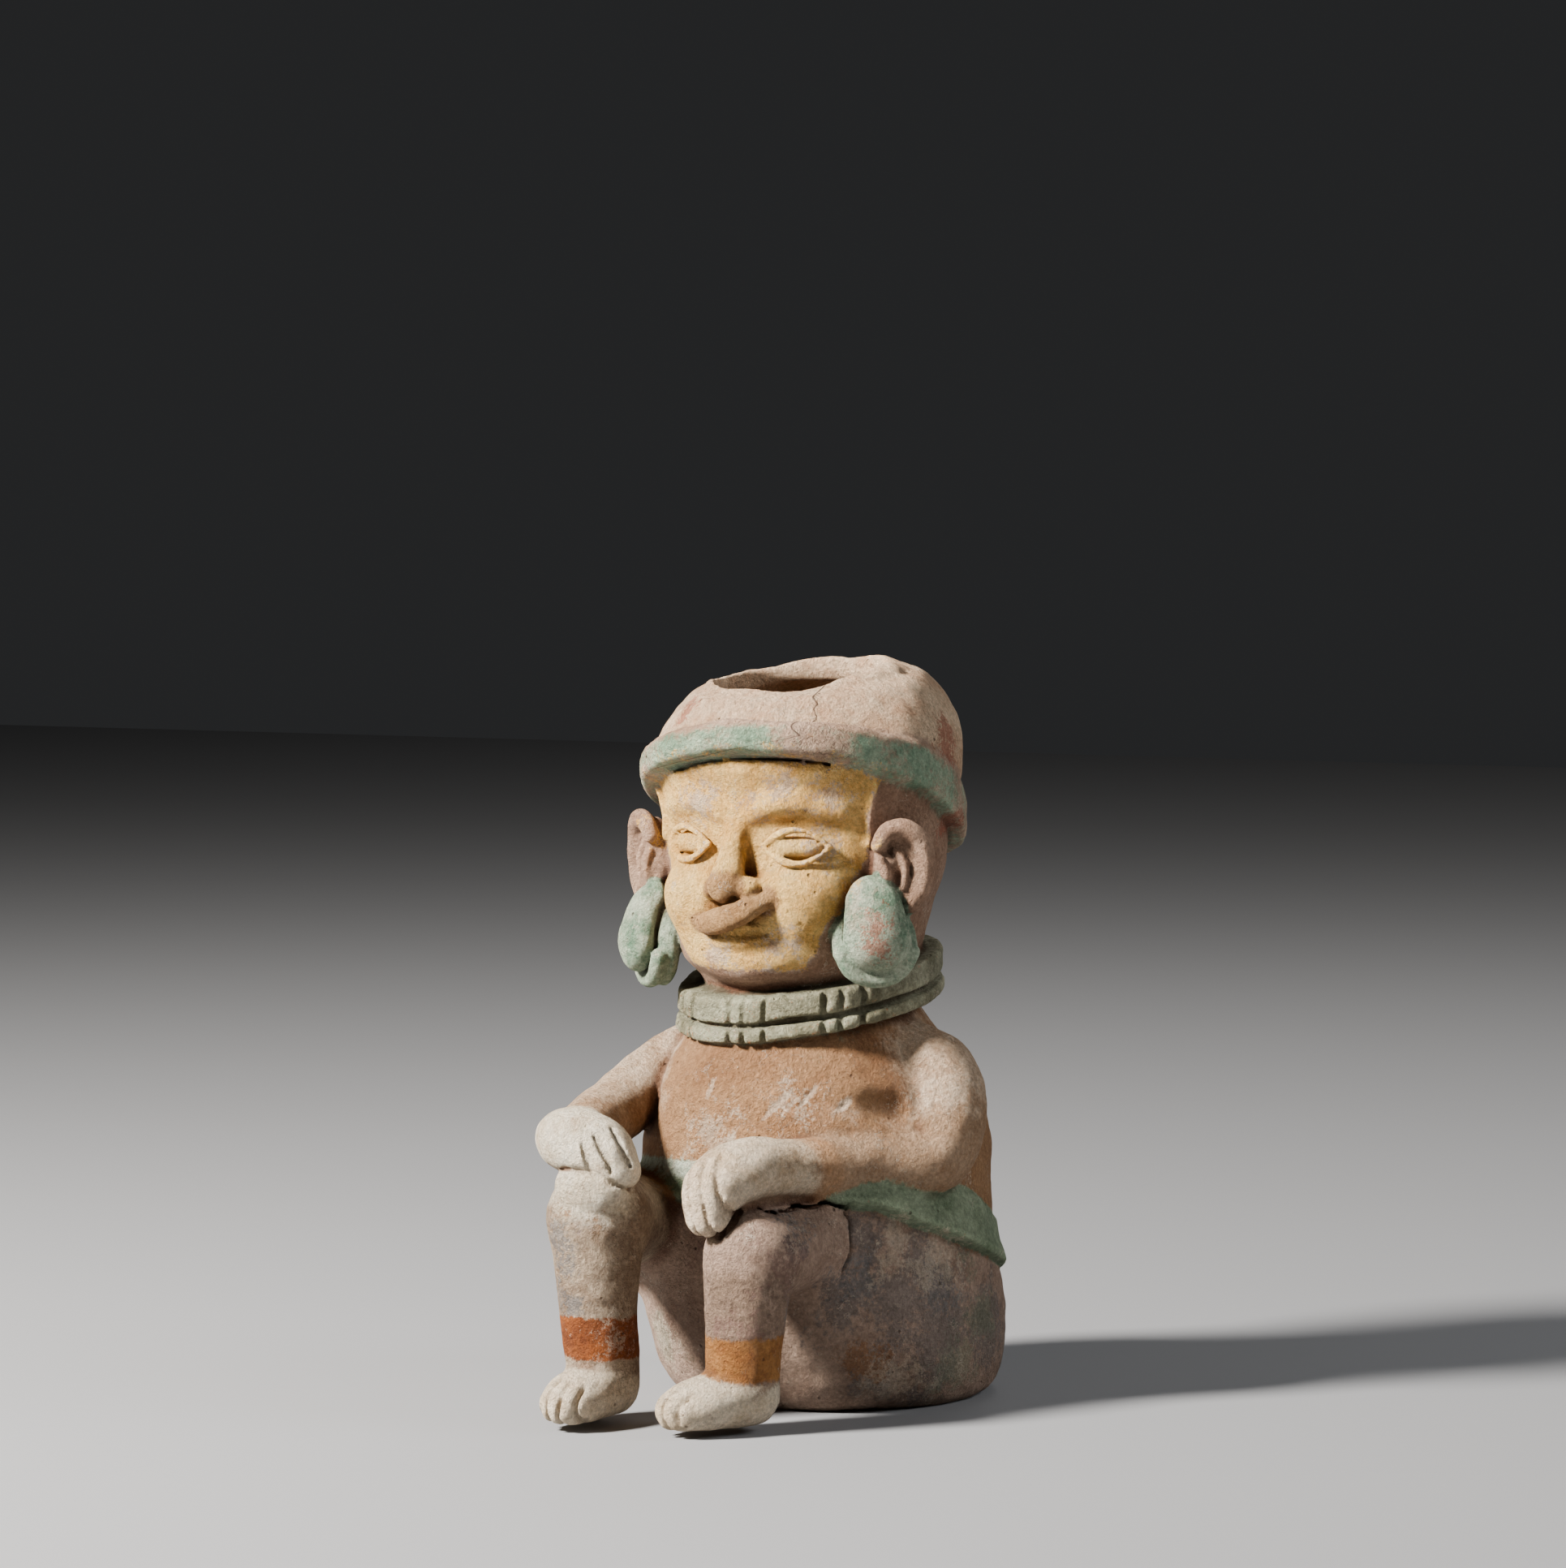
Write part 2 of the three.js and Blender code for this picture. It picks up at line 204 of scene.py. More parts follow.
def vesselOutline(f):
    hip, chest, neck, head, cap = (f[k + "Radius"] for k in ("hip", "chest", "neck", "head", "cap"))
    rows = [
        (f["baseRadius"], 0),
        (f["baseRadius"] + 4, 4.5),
        (hip - 2, 14),
        (hip, 28),
        (hip - 0.5, 44),
        (chest + 0.5, 62),
        (chest, 78),
        (chest - 2.5, 92),
        (chest - 8, 104),
        (neck + 7, 115),
        (neck + 1, 124),
        (neck, 132),
        (neck + 4, 143),
        (head - 5, 156),
        (head - 1, 170),
        (head, 184),
        (cap, 198),
        (cap - 2, 208),
        (cap - 6.5, 217.5),
        (f["mouthRadius"] + 4.5, 225),
        (f["mouthRadius"], f["rimHeight"] - 1.5),
    ]
    return splinePoints(rows, 240)


outline = vesselOutline(vesselForm)
outlineSlope = np.gradient(outline[:, 0], outline[:, 1])


def unbend(x, y, z, f=vesselForm):
    # back from the figure's leaning, flattened shape to the plain turned one: radius, height, x and y
    w = z
    for _ in range(3):
        rise = smooth(70, 160, w)
        belly = 0.35 * np.sin(np.pi * np.clip(w / 90, 0, 1))
        lean = 0.3 * smooth(20, 90, w) * (1 - rise)
        u = x - f["headX"] * np.maximum(smooth(0, 60, w), rise)
        v = y - f["headY"] * (belly + lean + rise)
        w = z - smooth(196, f["rimHeight"], w) * (0.15 * v + 0.02 * u)
    inFace = smooth(136, 160, w) * (1 - 0.55 * smooth(192, 204, w) - 0.45 * smooth(212, 226, w))
    jaw = smooth(130, 140, w) * (1 - smooth(150, 172, w))
    forward = smooth(0.1, 0.8, -v / np.maximum(1.0, np.hypot(u, v)))
    u = u / (1 + 0.08 * jaw * forward)
    v = v / ((1 + 0.17 * jaw * forward) * np.where(v < 0, 1 - 0.14 * inFace, 1.0))
    return np.hypot(u, v), w, u, v


def turnedField(radius, height, inset=0.0):
    reach = np.interp(height, outline[:, 1], outline[:, 0])
    slope = np.interp(height, outline[:, 1], outlineSlope)
    return (radius - reach) / np.sqrt(1 + slope**2) + inset


def innerField(u, v, height, z, f=vesselForm):
    turn = np.arctan2(v, u)
    inner = softMax(turnedField(np.hypot(u, v), height, f["wall"]), height - 221, 3.0)
    opening = np.hypot(u - f["mouthShift"][0], v - f["mouthShift"][1]) - f["mouthOpening"]
    opening = opening - 0.5 * np.sin(3 * turn + 0.4) - 0.4 * np.sin(5 * turn)
    inner = softMin(inner, softMax(opening, 205 - height, 2.0), 5.0)
    return softMax(inner, f["floorThickness"] - z, 6.0)


def addVessel(f=vesselForm):
    x, y, z = window((low, high))[1:]
    radius, height, u, v = unbend(x, y, z)
    turn = np.arctan2(v, u)
    fuller = smooth(198, 213, height) * smooth(0.1, 0.95, np.cos(turn - 0.55))
    uneven = f["dents"] * softNoise(x, y, z, 26, 3) + 0.3 * softNoise(x, y, z, 9, 4)
    thick = smooth(-0.2, 1.0, np.cos(turn - 0.7))
    lip = f["rimHeight"] + 0.5 * np.sin(2 * turn + 0.6) + 0.5 * np.sin(3 * turn + 2.0)
    lip = lip + 0.4 * np.sin(7 * turn) + 1.6 * thick
    outer = turnedField(radius + uneven - f["shoulder"] * fuller, height)
    outer = softMax(outer, height - lip, 3.4 + 4.0 * thick)
    field[:] = softMax(outer, -z, 2.4)
    return innerField(u * (1 + 0.02 * uneven), v * (1 + 0.02 * uneven), height, z)


hollowField = addVessel()
print("vessel turned and bent")


# brim, collar and belt: bands laid round the figure on tilted planes. Their edges are given by the turn
# round the figure in degrees, from 0 in front to 90 at its left side.

def bandFrame(x, y, z, band):
    x, y = x - band["centre"][0], y - band["centre"][1]
    up = z - band["centre"][2] - band["slope"][0] * x - band["slope"][1] * y
    return np.hypot(x, y), up, np.degrees(np.arctan2(x, -y))


def edgeAt(turn, rows):
    return np.interp(turn, [r[0] for r in rows], [r[1] for r in rows])


def roundedBox(out, up, halfOut, halfUp, corner):
    dx, dy = np.abs(out) - (halfOut - corner), np.abs(up) - (halfUp - corner)
    return np.hypot(np.maximum(dx, 0), np.maximum(dy, 0)) + np.minimum(np.maximum(dx, dy), 0) - corner


brimForm = {
    "centre": (-3, -13, 190.5),
    "slope": (0.09, -0.36),
    "radius": 46.2,
    "gapRadius": 43.6,  # of the open line under the brim
    "depth": 5.3,
    "top": (
        (-180, 6.5), (-100, 8), (-60, 8.2), (-15, 7.0), (25, 7.2), (50, 8.6), (85, 10.8), (130, 9),
        (180, 6.5),
    ),
    "paint": (
        (-180, 0), (-75, -0.6), (-40, 0.4), (-18, 3), (4, 3), (16, 0.8), (28, -1.2), (46, -1.2),
        (56, 2.5), (86, 3), (104, -0.4), (180, 0),
    ),
    "bottom": (
        (-180, -7), (-90, -5), (-60, -2.6), (-20, -3.2), (40, -3.4), (80, -4.6), (110, -7.5), (130, -9),
        (180, -7),
    ),
}


def brimField(x, y, z, b=brimForm):
    radius, up, turn = bandFrame(x, y, z, b)
    top, bottom = edgeAt(turn, b["top"]), edgeAt(turn, b["bottom"])
    middle = (top + bottom) / 2 + 0.6 * softNoise(x, y, z, 16, 11)
    out = radius - b["radius"] + 0.16 * np.maximum(up - middle, 0) + 0.4 * softNoise(x, y, z, 11, 14)
    return roundedBox(out, up - middle, b["depth"], (top - bottom) / 2, np.where(up > middle, 3.6, 2.4))


def brimGap(x, y, z, b=brimForm):
    # the open line between the brim and the forehead
    radius, up, turn = bandFrame(x, y, z, b)
    gap = roundedBox(radius - b["gapRadius"], up - edgeAt(turn, b["bottom"]) + 0.2, 2.6, 0.6, 0.4)
    return np.maximum(gap, (np.abs(turn - 8) - 42) * 0.8)


collarForm = {
    "centre": (-3, -9, 128.8),
    "slope": (0.06, 0.19),
    "radius": 42.0,
    "groups": (-40, 2.6, 45.6),  # where the upright cuts are
    "cutStep": 8.6,
    "cutSpread": 1.4,  # degrees by which the outer cuts of a group lean to one side
    "cutWidth": 0.95,
}


def collarField(x, y, z, c=collarForm):
    radius, up, turn = bandFrame(x, y, z, c)
    up = up + 0.45 * softNoise(x, y, z, 13, 15)
    out = radius - c["radius"] + 0.35 * softNoise(x, y, z, 12, 12)
    upper = roundedBox(out + 4.4, up - 3.35, 4.5, 3.85, 1.5)
    lower = roundedBox(out + 3.8, up + 4.5, 4.5, 2.3, 1.7)
    tiers = least(upper, lower, roundedBox(out + 6.6, up, 4.0, 6.0, 1.0))
    for group in c["groups"]:
        for step in (-1, 0, 1):
            away = turn - group - step * c["cutStep"] - c["cutSpread"] * step * step
            side = np.radians(away) * c["radius"]
            side = side + 0.5 * softNoise(0 * x, 0 * y, z, 5, 16)
            tiers = softMax(tiers, c["cutWidth"] - np.hypot(side, 0.55 * (out - 0.2)), 0.4)
    return tiers


beltForm = {
    "centre": (-2, -5, 56.5),
    "slope": (0, -0.34),
    "radius": 55.5,
    "top": (
        (-180, 6.5), (-60, 6.8), (-45, 5.0), (-21, 1.8), (0, 1.0), (30, 4), (60, 9), (88, 10.5),
        (118, 8.2), (150, 6.5), (180, 6.5),
    ),
    "bottom": (
        (-180, -6.5), (-85, -5), (-60, -1), (-45, -1.5), (-25, -8), (-14, -11), (20, -8), (50, -4),
        (66, -5.9), (90, -6.9), (180, -6.5),
    ),
}


def beltField(x, y, z, b=beltForm):
    radius, up, turn = bandFrame(x, y, z, b)
    top, bottom = edgeAt(turn, b["top"]), edgeAt(turn, b["bottom"])
    share = np.clip((up - bottom) / np.maximum(top - bottom, 3.0), 0, 1)
    front = smooth(15, 50, np.abs(turn + 10))
    flare = np.interp(share, (0, 0.12, 0.5, 1), (3.0, 4.1, 2.2, 0.7)) - 1.2 * (1 - front) * (1 - share)
    flare = flare + 0.35 * softNoise(x, y, z, 14, 13)
    band = softMax(radius - b["radius"] - flare, np.maximum(up - top, bottom - up), 1.6)
    return softMax(band, b["radius"] - 6 - radius, 1.0)


addForm(brimField, 0.9, ((-60, -72, 160), (56, 48, 222)))
carveForm(brimGap, 0.6, ((-44, -70, 185), (44, -20, 215)))
addForm(collarField, 1.0, ((-50, -56, 110), (44, 38, 148)))
addForm(beltField, 0.9, ((-66, -70, 26), (62, 60, 90)))
print("brim, collar and belt laid on")


# the face, calm and regular, set by a few heights on the flattened front of the head

faceForm = {
    "x": -3.0,
    "eyeHeight": 176.0,
    "eyeOut": 19.5,
    "eyeHalf": 10.5,
    "lidHeight": 5.2,
    "noseBase": 159.0,
    "mouthHeight": 148.5,
    "chinHeight": 141.0,
    "temple": 56.5,  # degrees round to the line down the temple
    # how far round the yellow paint reaches at each height, in degrees
    "paintEdge": ((134, 30), (150, 39), (165, 49), (178, 56), (202, 57)),
}


def addFace(f=faceForm):
    x, eyes, noseBase, mouth = f["x"], f["eyeHeight"], f["noseBase"], f["mouthHeight"]
    for side in (-1, 1):
        out = side * f["eyeOut"]
        cheek = Lump((x + side * 18, -43.5, 160), (14, 10.5, 12), side * 20)
        addForm(cheek, 6.0)
        socket = Lump((x + out * 0.97, -57.5, eyes + 0.5), (14, 7.6, 8.5), side * 20)
        carveForm(socket, 5.0)
        brow = Chain(
            [
                (x + side * 6, -51.5, eyes + 10, 2.4),
                (x + side * 18, -49.5, eyes + 13.5, 2.8),
                (x + side * 31, -41.5, eyes + 10.5, 2.0),
            ]
        )
        addForm(brow, 5.0)
    chin = Lump((x, -43.5, f["chinHeight"]), (16, 10.2, 9))
    addForm(chin, 6.0)
    nose = Chain([(x, -50, eyes + 9, 3.4), (x, -54, eyes - 3, 4.2), (x, -58.5, noseBase + 4.8, 5.6)], 8)
    addForm(nose, 3.0)
    for side in (-1, 1):
        wing = Lump((x + side * 6.2, -55, noseBase + 3.8), (4.4, 4.8, 3.9))
        addForm(wing, 1.8)
        nostril = Lump((x + side * 3.4, -59, noseBase + 0.2), (1.7, 2.2, 2.4))
        carveForm(nostril, 0.8)
    for lip, girth in ((1, 2.2), (-1, 2.6)):
        middle = mouth + lip * 1.9
        row = [(x - 11.5, -50.5, mouth + 0.2, 0.6), (x - 5, -53.6, middle, girth)]
        row += [(x, -54.4, middle - 0.2 * (lip > 0), girth)]
        row += [(x + 5, -53.6, middle, girth), (x + 11.5, -50.5, mouth + 0.2, 0.6)]
        part = Chain(row, 14)
        addForm(part, 1.6)
    corners = [(x + side * 11.5, -51.8, mouth + 0.3, 0.6) for side in (-1, 1)]
    parting = Chain([corners[0], (x, -57.4, mouth, 0.9), corners[1]], 12)
    carveForm(parting, 0.7)
    for side in (-1, 1):
        addEye(side, f)
    bar = [(x - 13, -53, 151.5, 1.8), (x - 5, -59, 152, 4), (x + 5, -60, 155, 4), (x + 13, -54, 159.5, 2.8)]
    crescent = Chain(bar, 16, thin=(0.1, 1, 0.2, 0.7))
    addForm(crescent, 0.9)
    return crescent


def addEye(side, f):
    turn = math.radians(side * 22)
    centre = np.array([f["x"] + side * f["eyeOut"], -47.4, f["eyeHeight"]])

    def lie(across, up, out):
        # a point on the curve of the head, from the middle of the eye
        y = -out + 0.012 * across * across
        c, s = math.cos(turn), math.sin(turn)
        return centre + (across * c - y * s, across * s + y * c, up)

    ball = Lump(lie(0, 0, 0.5), (8.4, 3.0, 3.3), side * 22)
    addForm(ball, 0.6)
    for lid in (1, -1):
        rows = []
        for share in (-1, -0.6, -0.2, 0.2, 0.6, 1):
            arch = 1 - share * share
            place = lie(share * f["eyeHalf"], lid * f["lidHeight"] * arch, 2.7 - 0.6 * share * share)
            rows.append((*place, 0.85 + 0.4 * arch))
        rim = Chain(rows, 14)
        addForm(rim, 0.6)


def addTemple(side, f=vesselForm):
    # the edge of the painted face, a thin raised line down the temple
    edge = []
    turn = math.radians(side * faceForm["temple"])
    for height in (201, 192, 184, 177):
        reach = np.interp(height, outline[:, 1], outline[:, 0]) - 0.4
        x, y = f["headX"] + reach * math.sin(turn), f["headY"] - 0.9 * reach * math.cos(turn)
        edge.append((x, y, height, 1.25))
    line = Chain(edge, 8)
    addForm(line, 0.9)


crescent = addFace()
addTemple(-1)
addTemple(1)


# ears, and the big two-lobed ornaments: a thick tongue of clay laid over a disc

def creaseBetween(first, second, box, girth):
    # the crease that stays open where two pieces of clay were pressed together
    s, x, y, z = window(box, 1.0)
    crease = np.hypot(first(x, y, z), second(x, y, z)) - girth - 0.3 * softNoise(x, y, z, 4, 60)
    field[s] = softMax(field[s], -np.maximum(crease, 2.5 - hollowField[s]), 0.5)


earForm = {"out": 47.0, "y": -29.0, "z": 168.5, "turn": 40.0}
ornamentForm = {
    "out": 40.0,
    "y": -36.0,
    "z": {1: 147.5, -1: 143.5},
    "disc": 13.4,
    "dish": 10.2,
    # the tongue from the ear down: sideways, up, forward, girth
    "tongue": {
        1: ((-0.6, 12.5, 0.6, 7.4), (-0.2, 8.0, 3.2, 9.6), (0.8, 0.6, 4.6, 10.6)),
        -1: ((0.4, 13.0, 0.8, 6.4), (0.6, 7.5, 4.4, 8.6), (0.6, 0.0, 6.6, 9.6)),
    },
}


def placed(side, centre, turn):
    # local sideways, forward and up measured from an ear or its ornament
    c, s = math.cos(math.radians(side * turn)), math.sin(math.radians(side * turn))

    def at(x, y, z):
        x = side * x
        return (centre[0] + c * x - s * y, centre[1] + s * x + c * y, centre[2] + z)

    return at


def addEar(side, e=earForm):
    at = placed(side, (vesselForm["headX"] + side * e["out"], e["y"], e["z"]), e["turn"])
    turn = side * e["turn"]
    shell = Lump(at(-0.5, 1.0, -0.5), (9.4, 5.6, 14.6), turn)
    addForm(shell, 2.0)
    bowl = Lump(at(-0.8, -7.2, 0.5), (6.0, 4.6, 10.4), turn)
    carveForm(bowl, 1.4)
    rows = [(-8.2, -2.6, 8.2, 2.4), (-6.0, -3.6, 12.4, 2.9), (-0.8, -3.8, 13.4, 3.2), (4.4, -3.4, 9.6, 3.1)]
    rows += [(6.0, -3.0, 2.5, 3.0), (5.0, -2.8, -5.0, 2.9), (1.6, -2.6, -10.6, 2.8)]
    rim = Chain([(*at(*row[:3]), row[3]) for row in rows], 20)
    addForm(rim, 1.0)
    pit = Lump(at(-4.0, -4.4, 6.6), (2.0, 3.0, 2.4), turn)
    carveForm(pit, 0.9)
    folds = [[(-3.0, -3.0, 6.4, 0.9), (-0.2, -3.8, 1.6, 1.2), (-0.8, -3.6, -5.0, 1.1)]]
    folds += [[(1.2, -3.0, 6.8, 0.9), (3.2, -3.6, 1.0, 1.0), (1.6, -3.4, -6.0, 1.0)]]
    folds += [[(-8.0, -3.2, 3.6, 1.4), (-6.4, -3.8, -1.0, 1.8), (-6.6, -3.0, -5.0, 1.2)]]
    for fold in folds:
        ridge = Chain([(*at(*row[:3]), row[3]) for row in fold], 10)
        addForm(ridge, 0.7)
    return shell, rim


def addOrnament(side, e=earForm, o=ornamentForm):
    at = placed(side, (vesselForm["headX"] + side * o["out"], o["y"], o["z"][side]), e["turn"])
    turn = side * e["turn"]
    facing = placed(side, (0, 0, 0), e["turn"])(0, 1, 0)
    disc = Lump(at(0.6, 1.4, -0.8), (o["disc"], 5.0, o["disc"] * 1.02), turn)
    addForm(disc, 1.0)
    dish = Lump(at(0.6, -6.2, -1.2), (o["dish"], 5.6, o["dish"]), turn)
    carveForm(dish, 1.0)
    rim = []
    for bend in range(-75, 76, 25):
        along = math.radians(bend)
        rim.append((*at(0.6 + 11.2 * math.sin(along), -2.6, -1.0 - 11.4 * math.cos(along)), 2.6))
    curl = Chain(rim, 18)
    addForm(curl, 1.2)
    rows = [(*at(x, -forward, z), girth) for x, z, forward, girth in o["tongue"][side]]
    tongue = Chain(rows, 12, thin=(*facing, 0.6))
    addForm(tongue, 0.8)
    creaseBetween(tongue, disc, tongue.box, 0.7)
    return disc, curl, tongue


ears = [form for side in (-1, 1) for form in addEar(side)]
ornaments = [form for side in (-1, 1) for form in addOrnament(side)]
print("face, ears and ornaments modelled")


# arms, hands, legs and feet

armForms = {
    "left": [
        (33, -7, 107, 13), (43.5, -7, 102, 13), (49, -12, 90, 12.5), (47.5, -19, 78.5, 12),
        (36, -34, 77, 11), (22, -60, 77.5, 9.5),
    ],
    "right": [
        (-33, -10, 107, 13), (-45, -20, 103, 12), (-49, -36, 96, 11), (-48, -56, 90, 10.5),
        (-43, -75, 87, 10), (-37, -87, 85, 10),
    ],
    # the hollows between body and arms, deepest by the arm
    "armpits": (
        [(30, -48, 101, 4.0), (38, -42.8, 98.2, 6.0), (45.8, -33.8, 95.5, 8.2)],
        [(-43, -29, 96, 4.5), (-43, -29, 90, 6.0), (-42, -30, 84, 4.5)],
    ),
}
handForms = {
    "left": [(23, -60, 78, 9), (17, -75, 79, 10.8), (13, -87, 75, 10.4), (13, -92, 66, 7)],
    "right": [(-40, -88, 85.5, 11.5), (-33, -94, 86, 12), (-25, -96, 84, 11.5), (-19, -96, 79, 8.5)],
    # clay pressed between the left hand and the thigh
    "pad": [(22, -56, 69, 5.0), (18, -70, 69, 5.6), (15.5, -81, 68.5, 5.0)],
    "rightCuts": (
        ((-23, -107, 87.4), (-20.4, -107.2, 82.6), (-19.6, -105.8, 78)),
        ((-20.7, -104, 89.6), (-16.6, -104.6, 84.8), (-14.6, -103.6, 79)),
        ((-19, -98, 91), (-13.6, -100, 86), (-11.8, -98, 80)),
    ),
}
legForms = {
    "left": {
        "hip": (23, -34, 50.5), "knee": (20.5, -80, 52.5), "ankle": (21, -85, 16),
        "toes": (10.5, -101.5), "kneeGirth": 14.5,
    },
    "right": {
        "hip": (-46, -34, 49), "knee": (-28.5, -91, 62), "ankle": (-25, -93, 16),
        "toes": (-25.5, -111), "kneeGirth": 15.5,
    },
    "bands": {"left": (16.4, 29.5), "right": (20.6, 33.4)},  # painted round the ankles, from and to
    "sole": 2.2,  # how far the feet clear the ground
    "flush": 8.0,  # how softly the thighs run into the body
    "kneecap": {"centre": (-26, -97.5, 72.5), "halves": (12.5, 10.0, 10.5), "turn": -10},  # on the right knee
}


def carveBetween(form, middle, direction, spacing, places, start, depth=1.3, width=0.55):
    # shallow cuts between fingers or toes, that follow the surface of the hand or foot
    s, x, y, z = window(form.box, 3.0)
    surface = form(x, y, z)
    direction = np.array(direction) / np.linalg.norm(direction)
    across = (x - middle[0]) * direction[0] + (y - middle[1]) * direction[1] + (z - middle[2]) * direction[2]
    forward = np.array(start[:3]) / np.linalg.norm(start[:3])
    gone = (x - middle[0]) * forward[0] + (y - middle[1]) * forward[1] + (z - middle[2]) * forward[2]
    ahead = start[3] - gone
    for n, place in enumerate(places):
        wobble = 0.35 * softNoise(x, y, z, 5, 30 + n)
        cut = softMax(np.abs(across - place * spacing + wobble) - width, -(surface + depth), 0.5)
        cut = softMax(softMax(cut, surface - 1.5, 0.5), ahead + 2.0 * (n % 2), 1.0)
        field[s] = softMax(field[s], -cut, 0.7)


def addLeg(leg, sole=legForms["sole"]):
    hip, knee, ankle = (np.array(leg[k], float) for k in ("hip", "knee", "ankle"))
    middle = (hip + knee) / 2 + (0, 0, 3)
    shin = knee + (ankle - knee) * 0.45 + (0, -1.5, 0)
    thigh = Chain([(*hip, 15), (*middle, 14.5), (*knee, leg["kneeGirth"])], 10)
    calf = Chain([(*knee, leg["kneeGirth"]), (*shin, 12.5), (*ankle, 11)], 12)
    heel = np.array([ankle[0], ankle[1], sole + 8])
    toes = np.array([*leg["toes"], sole + 5.5])
    ball = heel + (toes - heel) * 0.62
    ball[2] = sole + 7
    foot = Chain([(*heel, 10.5), (*ball, 10.5), (*toes, 9)], 10, thin=(0, 0, 1, 0.85))
    addForm(thigh, legForms["flush"])
    addForm(calf, 2.0)
    addForm(foot, 3.0)
    forward = (toes - heel) * (1, 1, 0)
    beside = (forward[1], -forward[0], 0)
    carveBetween(foot, tuple(toes), beside, 4.2, (-1.5, -0.5, 0.5, 1.5), (*forward, 0.0), 1.7, 0.5)
    s, _, _, z = window(foot.box, 3.0)
    field[s] = softMax(field[s], sole - z, 1.5)
    return thigh, calf, foot


def addArms():
    for rows in armForms["armpits"]:
        pit = Chain(rows, 8)
        carveForm(pit, 2.2)
    arms = [Chain(armForms[k], 22) for k in ("left", "right")]
    for arm in arms:
        addForm(arm, 1.3)
    left = Chain(handForms["left"], 14, thin=(0.3, -0.4, 0.9, 0.86))
    right = Chain(handForms["right"], 14, thin=(0.2, 0, 0.95, 0.86))
    for hand in (left, right):
        addForm(hand, 1.6)
    pad = Chain(handForms["pad"], 10)
    addForm(pad, 2.0)
    carveBetween(left, (13, -88, 74), (1, 0.1, 0.25), 4.6, (-1, 0, 1), (0.1, -0.8, -0.5, -4.5))
    for path in handForms["rightCuts"]:
        edge = [(*point, 0.55 + 0.4 * (n % 2)) for n, point in enumerate(path)]
        blade = Chain(edge, 10, thin=(0.5, -0.6, 0.5, 4.0))
        s, x, y, z = window(blade.box, 6.0)
        cut = np.maximum(blade(x, y, z), -(right(x, y, z) + 1.5))
        field[s] = softMax(field[s], -cut, 0.6)
    return arms + [left, right]


leftThigh, leftCalf, leftFoot = addLeg(legForms["left"])
rightThigh, rightCalf, rightFoot = addLeg(legForms["right"])
kneecap = Lump(legForms["kneecap"]["centre"], legForms["kneecap"]["halves"], legForms["kneecap"]["turn"])
addForm(kneecap, 0.8)
leftArm, rightArm, leftHand, rightHand = addArms()
creaseBetween(leftHand, leftThigh, ((4, -104, 56), (34, -76, 76)), 1.0)
creaseBetween(rightHand, kneecap, ((-42, -110, 66), (-8, -84, 86)), 0.7)
creaseBetween(leftArm, leftThigh, ((26, -60, 58), (50, -30, 76)), 0.6)
print("limbs added")


# wear of the clay: its uneven surface, cracks, pits and scratches

wearForm = {
    "uneven": ((11, 0.4), (4.5, 0.2), (2.2, 0.13)),  # size of the lumps and their height
    # half width, height, middle and half length along the thigh, and the x where it ends
    "handCrack": {"half": 0.62, "height": 66.2, "middle": -63.5, "reach": 15.5, "end": 14},
    # half width, place along the thigh, top and foot
    "thighCrack": {"half": 0.45, "place": -50.0, "top": 66.5, "foot": 42},
    "crackDepth": 5.0,
    "pits": 6,
    # the jagged hairline down the front of the cap: height and place sideways
    "hairline": (
        (210, 26), (212, 22), (214, 20.6), (216, 22.4), (217.4, 19.8), (220.2, 20.4), (222, 17.8),
        (224.6, 17), (226, 16.6),
    ),
    "scratches": (
        ((9.5, -56.2, 91.6), (16.6, -51.0, 100.4), 0.9),
        ((13, -55, 91), (18, -51, 97), 0.7),
        ((19.7, -51.3, 95.6), (23.6, -45.7, 102.8), 0.8),
        ((29.4, -45.6, 94.3), (33.2, -39.8, 99.1), 0.7),
        ((-12, -58, 96), (-9, -50, 106), 0.5),
        ((-2, -60, 82), (2, -59, 90), 0.5),
        ((-20, 43, 70), (-6, 46, 78), 0.8),
        ((26, 38, 92), (18, 40, 102), 0.7),
    ),
}


def roughen(w=wearForm):
    near = np.nonzero(np.abs(field) < 2.5)
    x, y, z = (axes[i][near[i]] for i in range(3))
    relief = 0.0
    for n, (size, height) in enumerate(w["uneven"]):
        relief = relief + height * softNoise(x, y, z, size, 40 + n)
    field[near] += relief


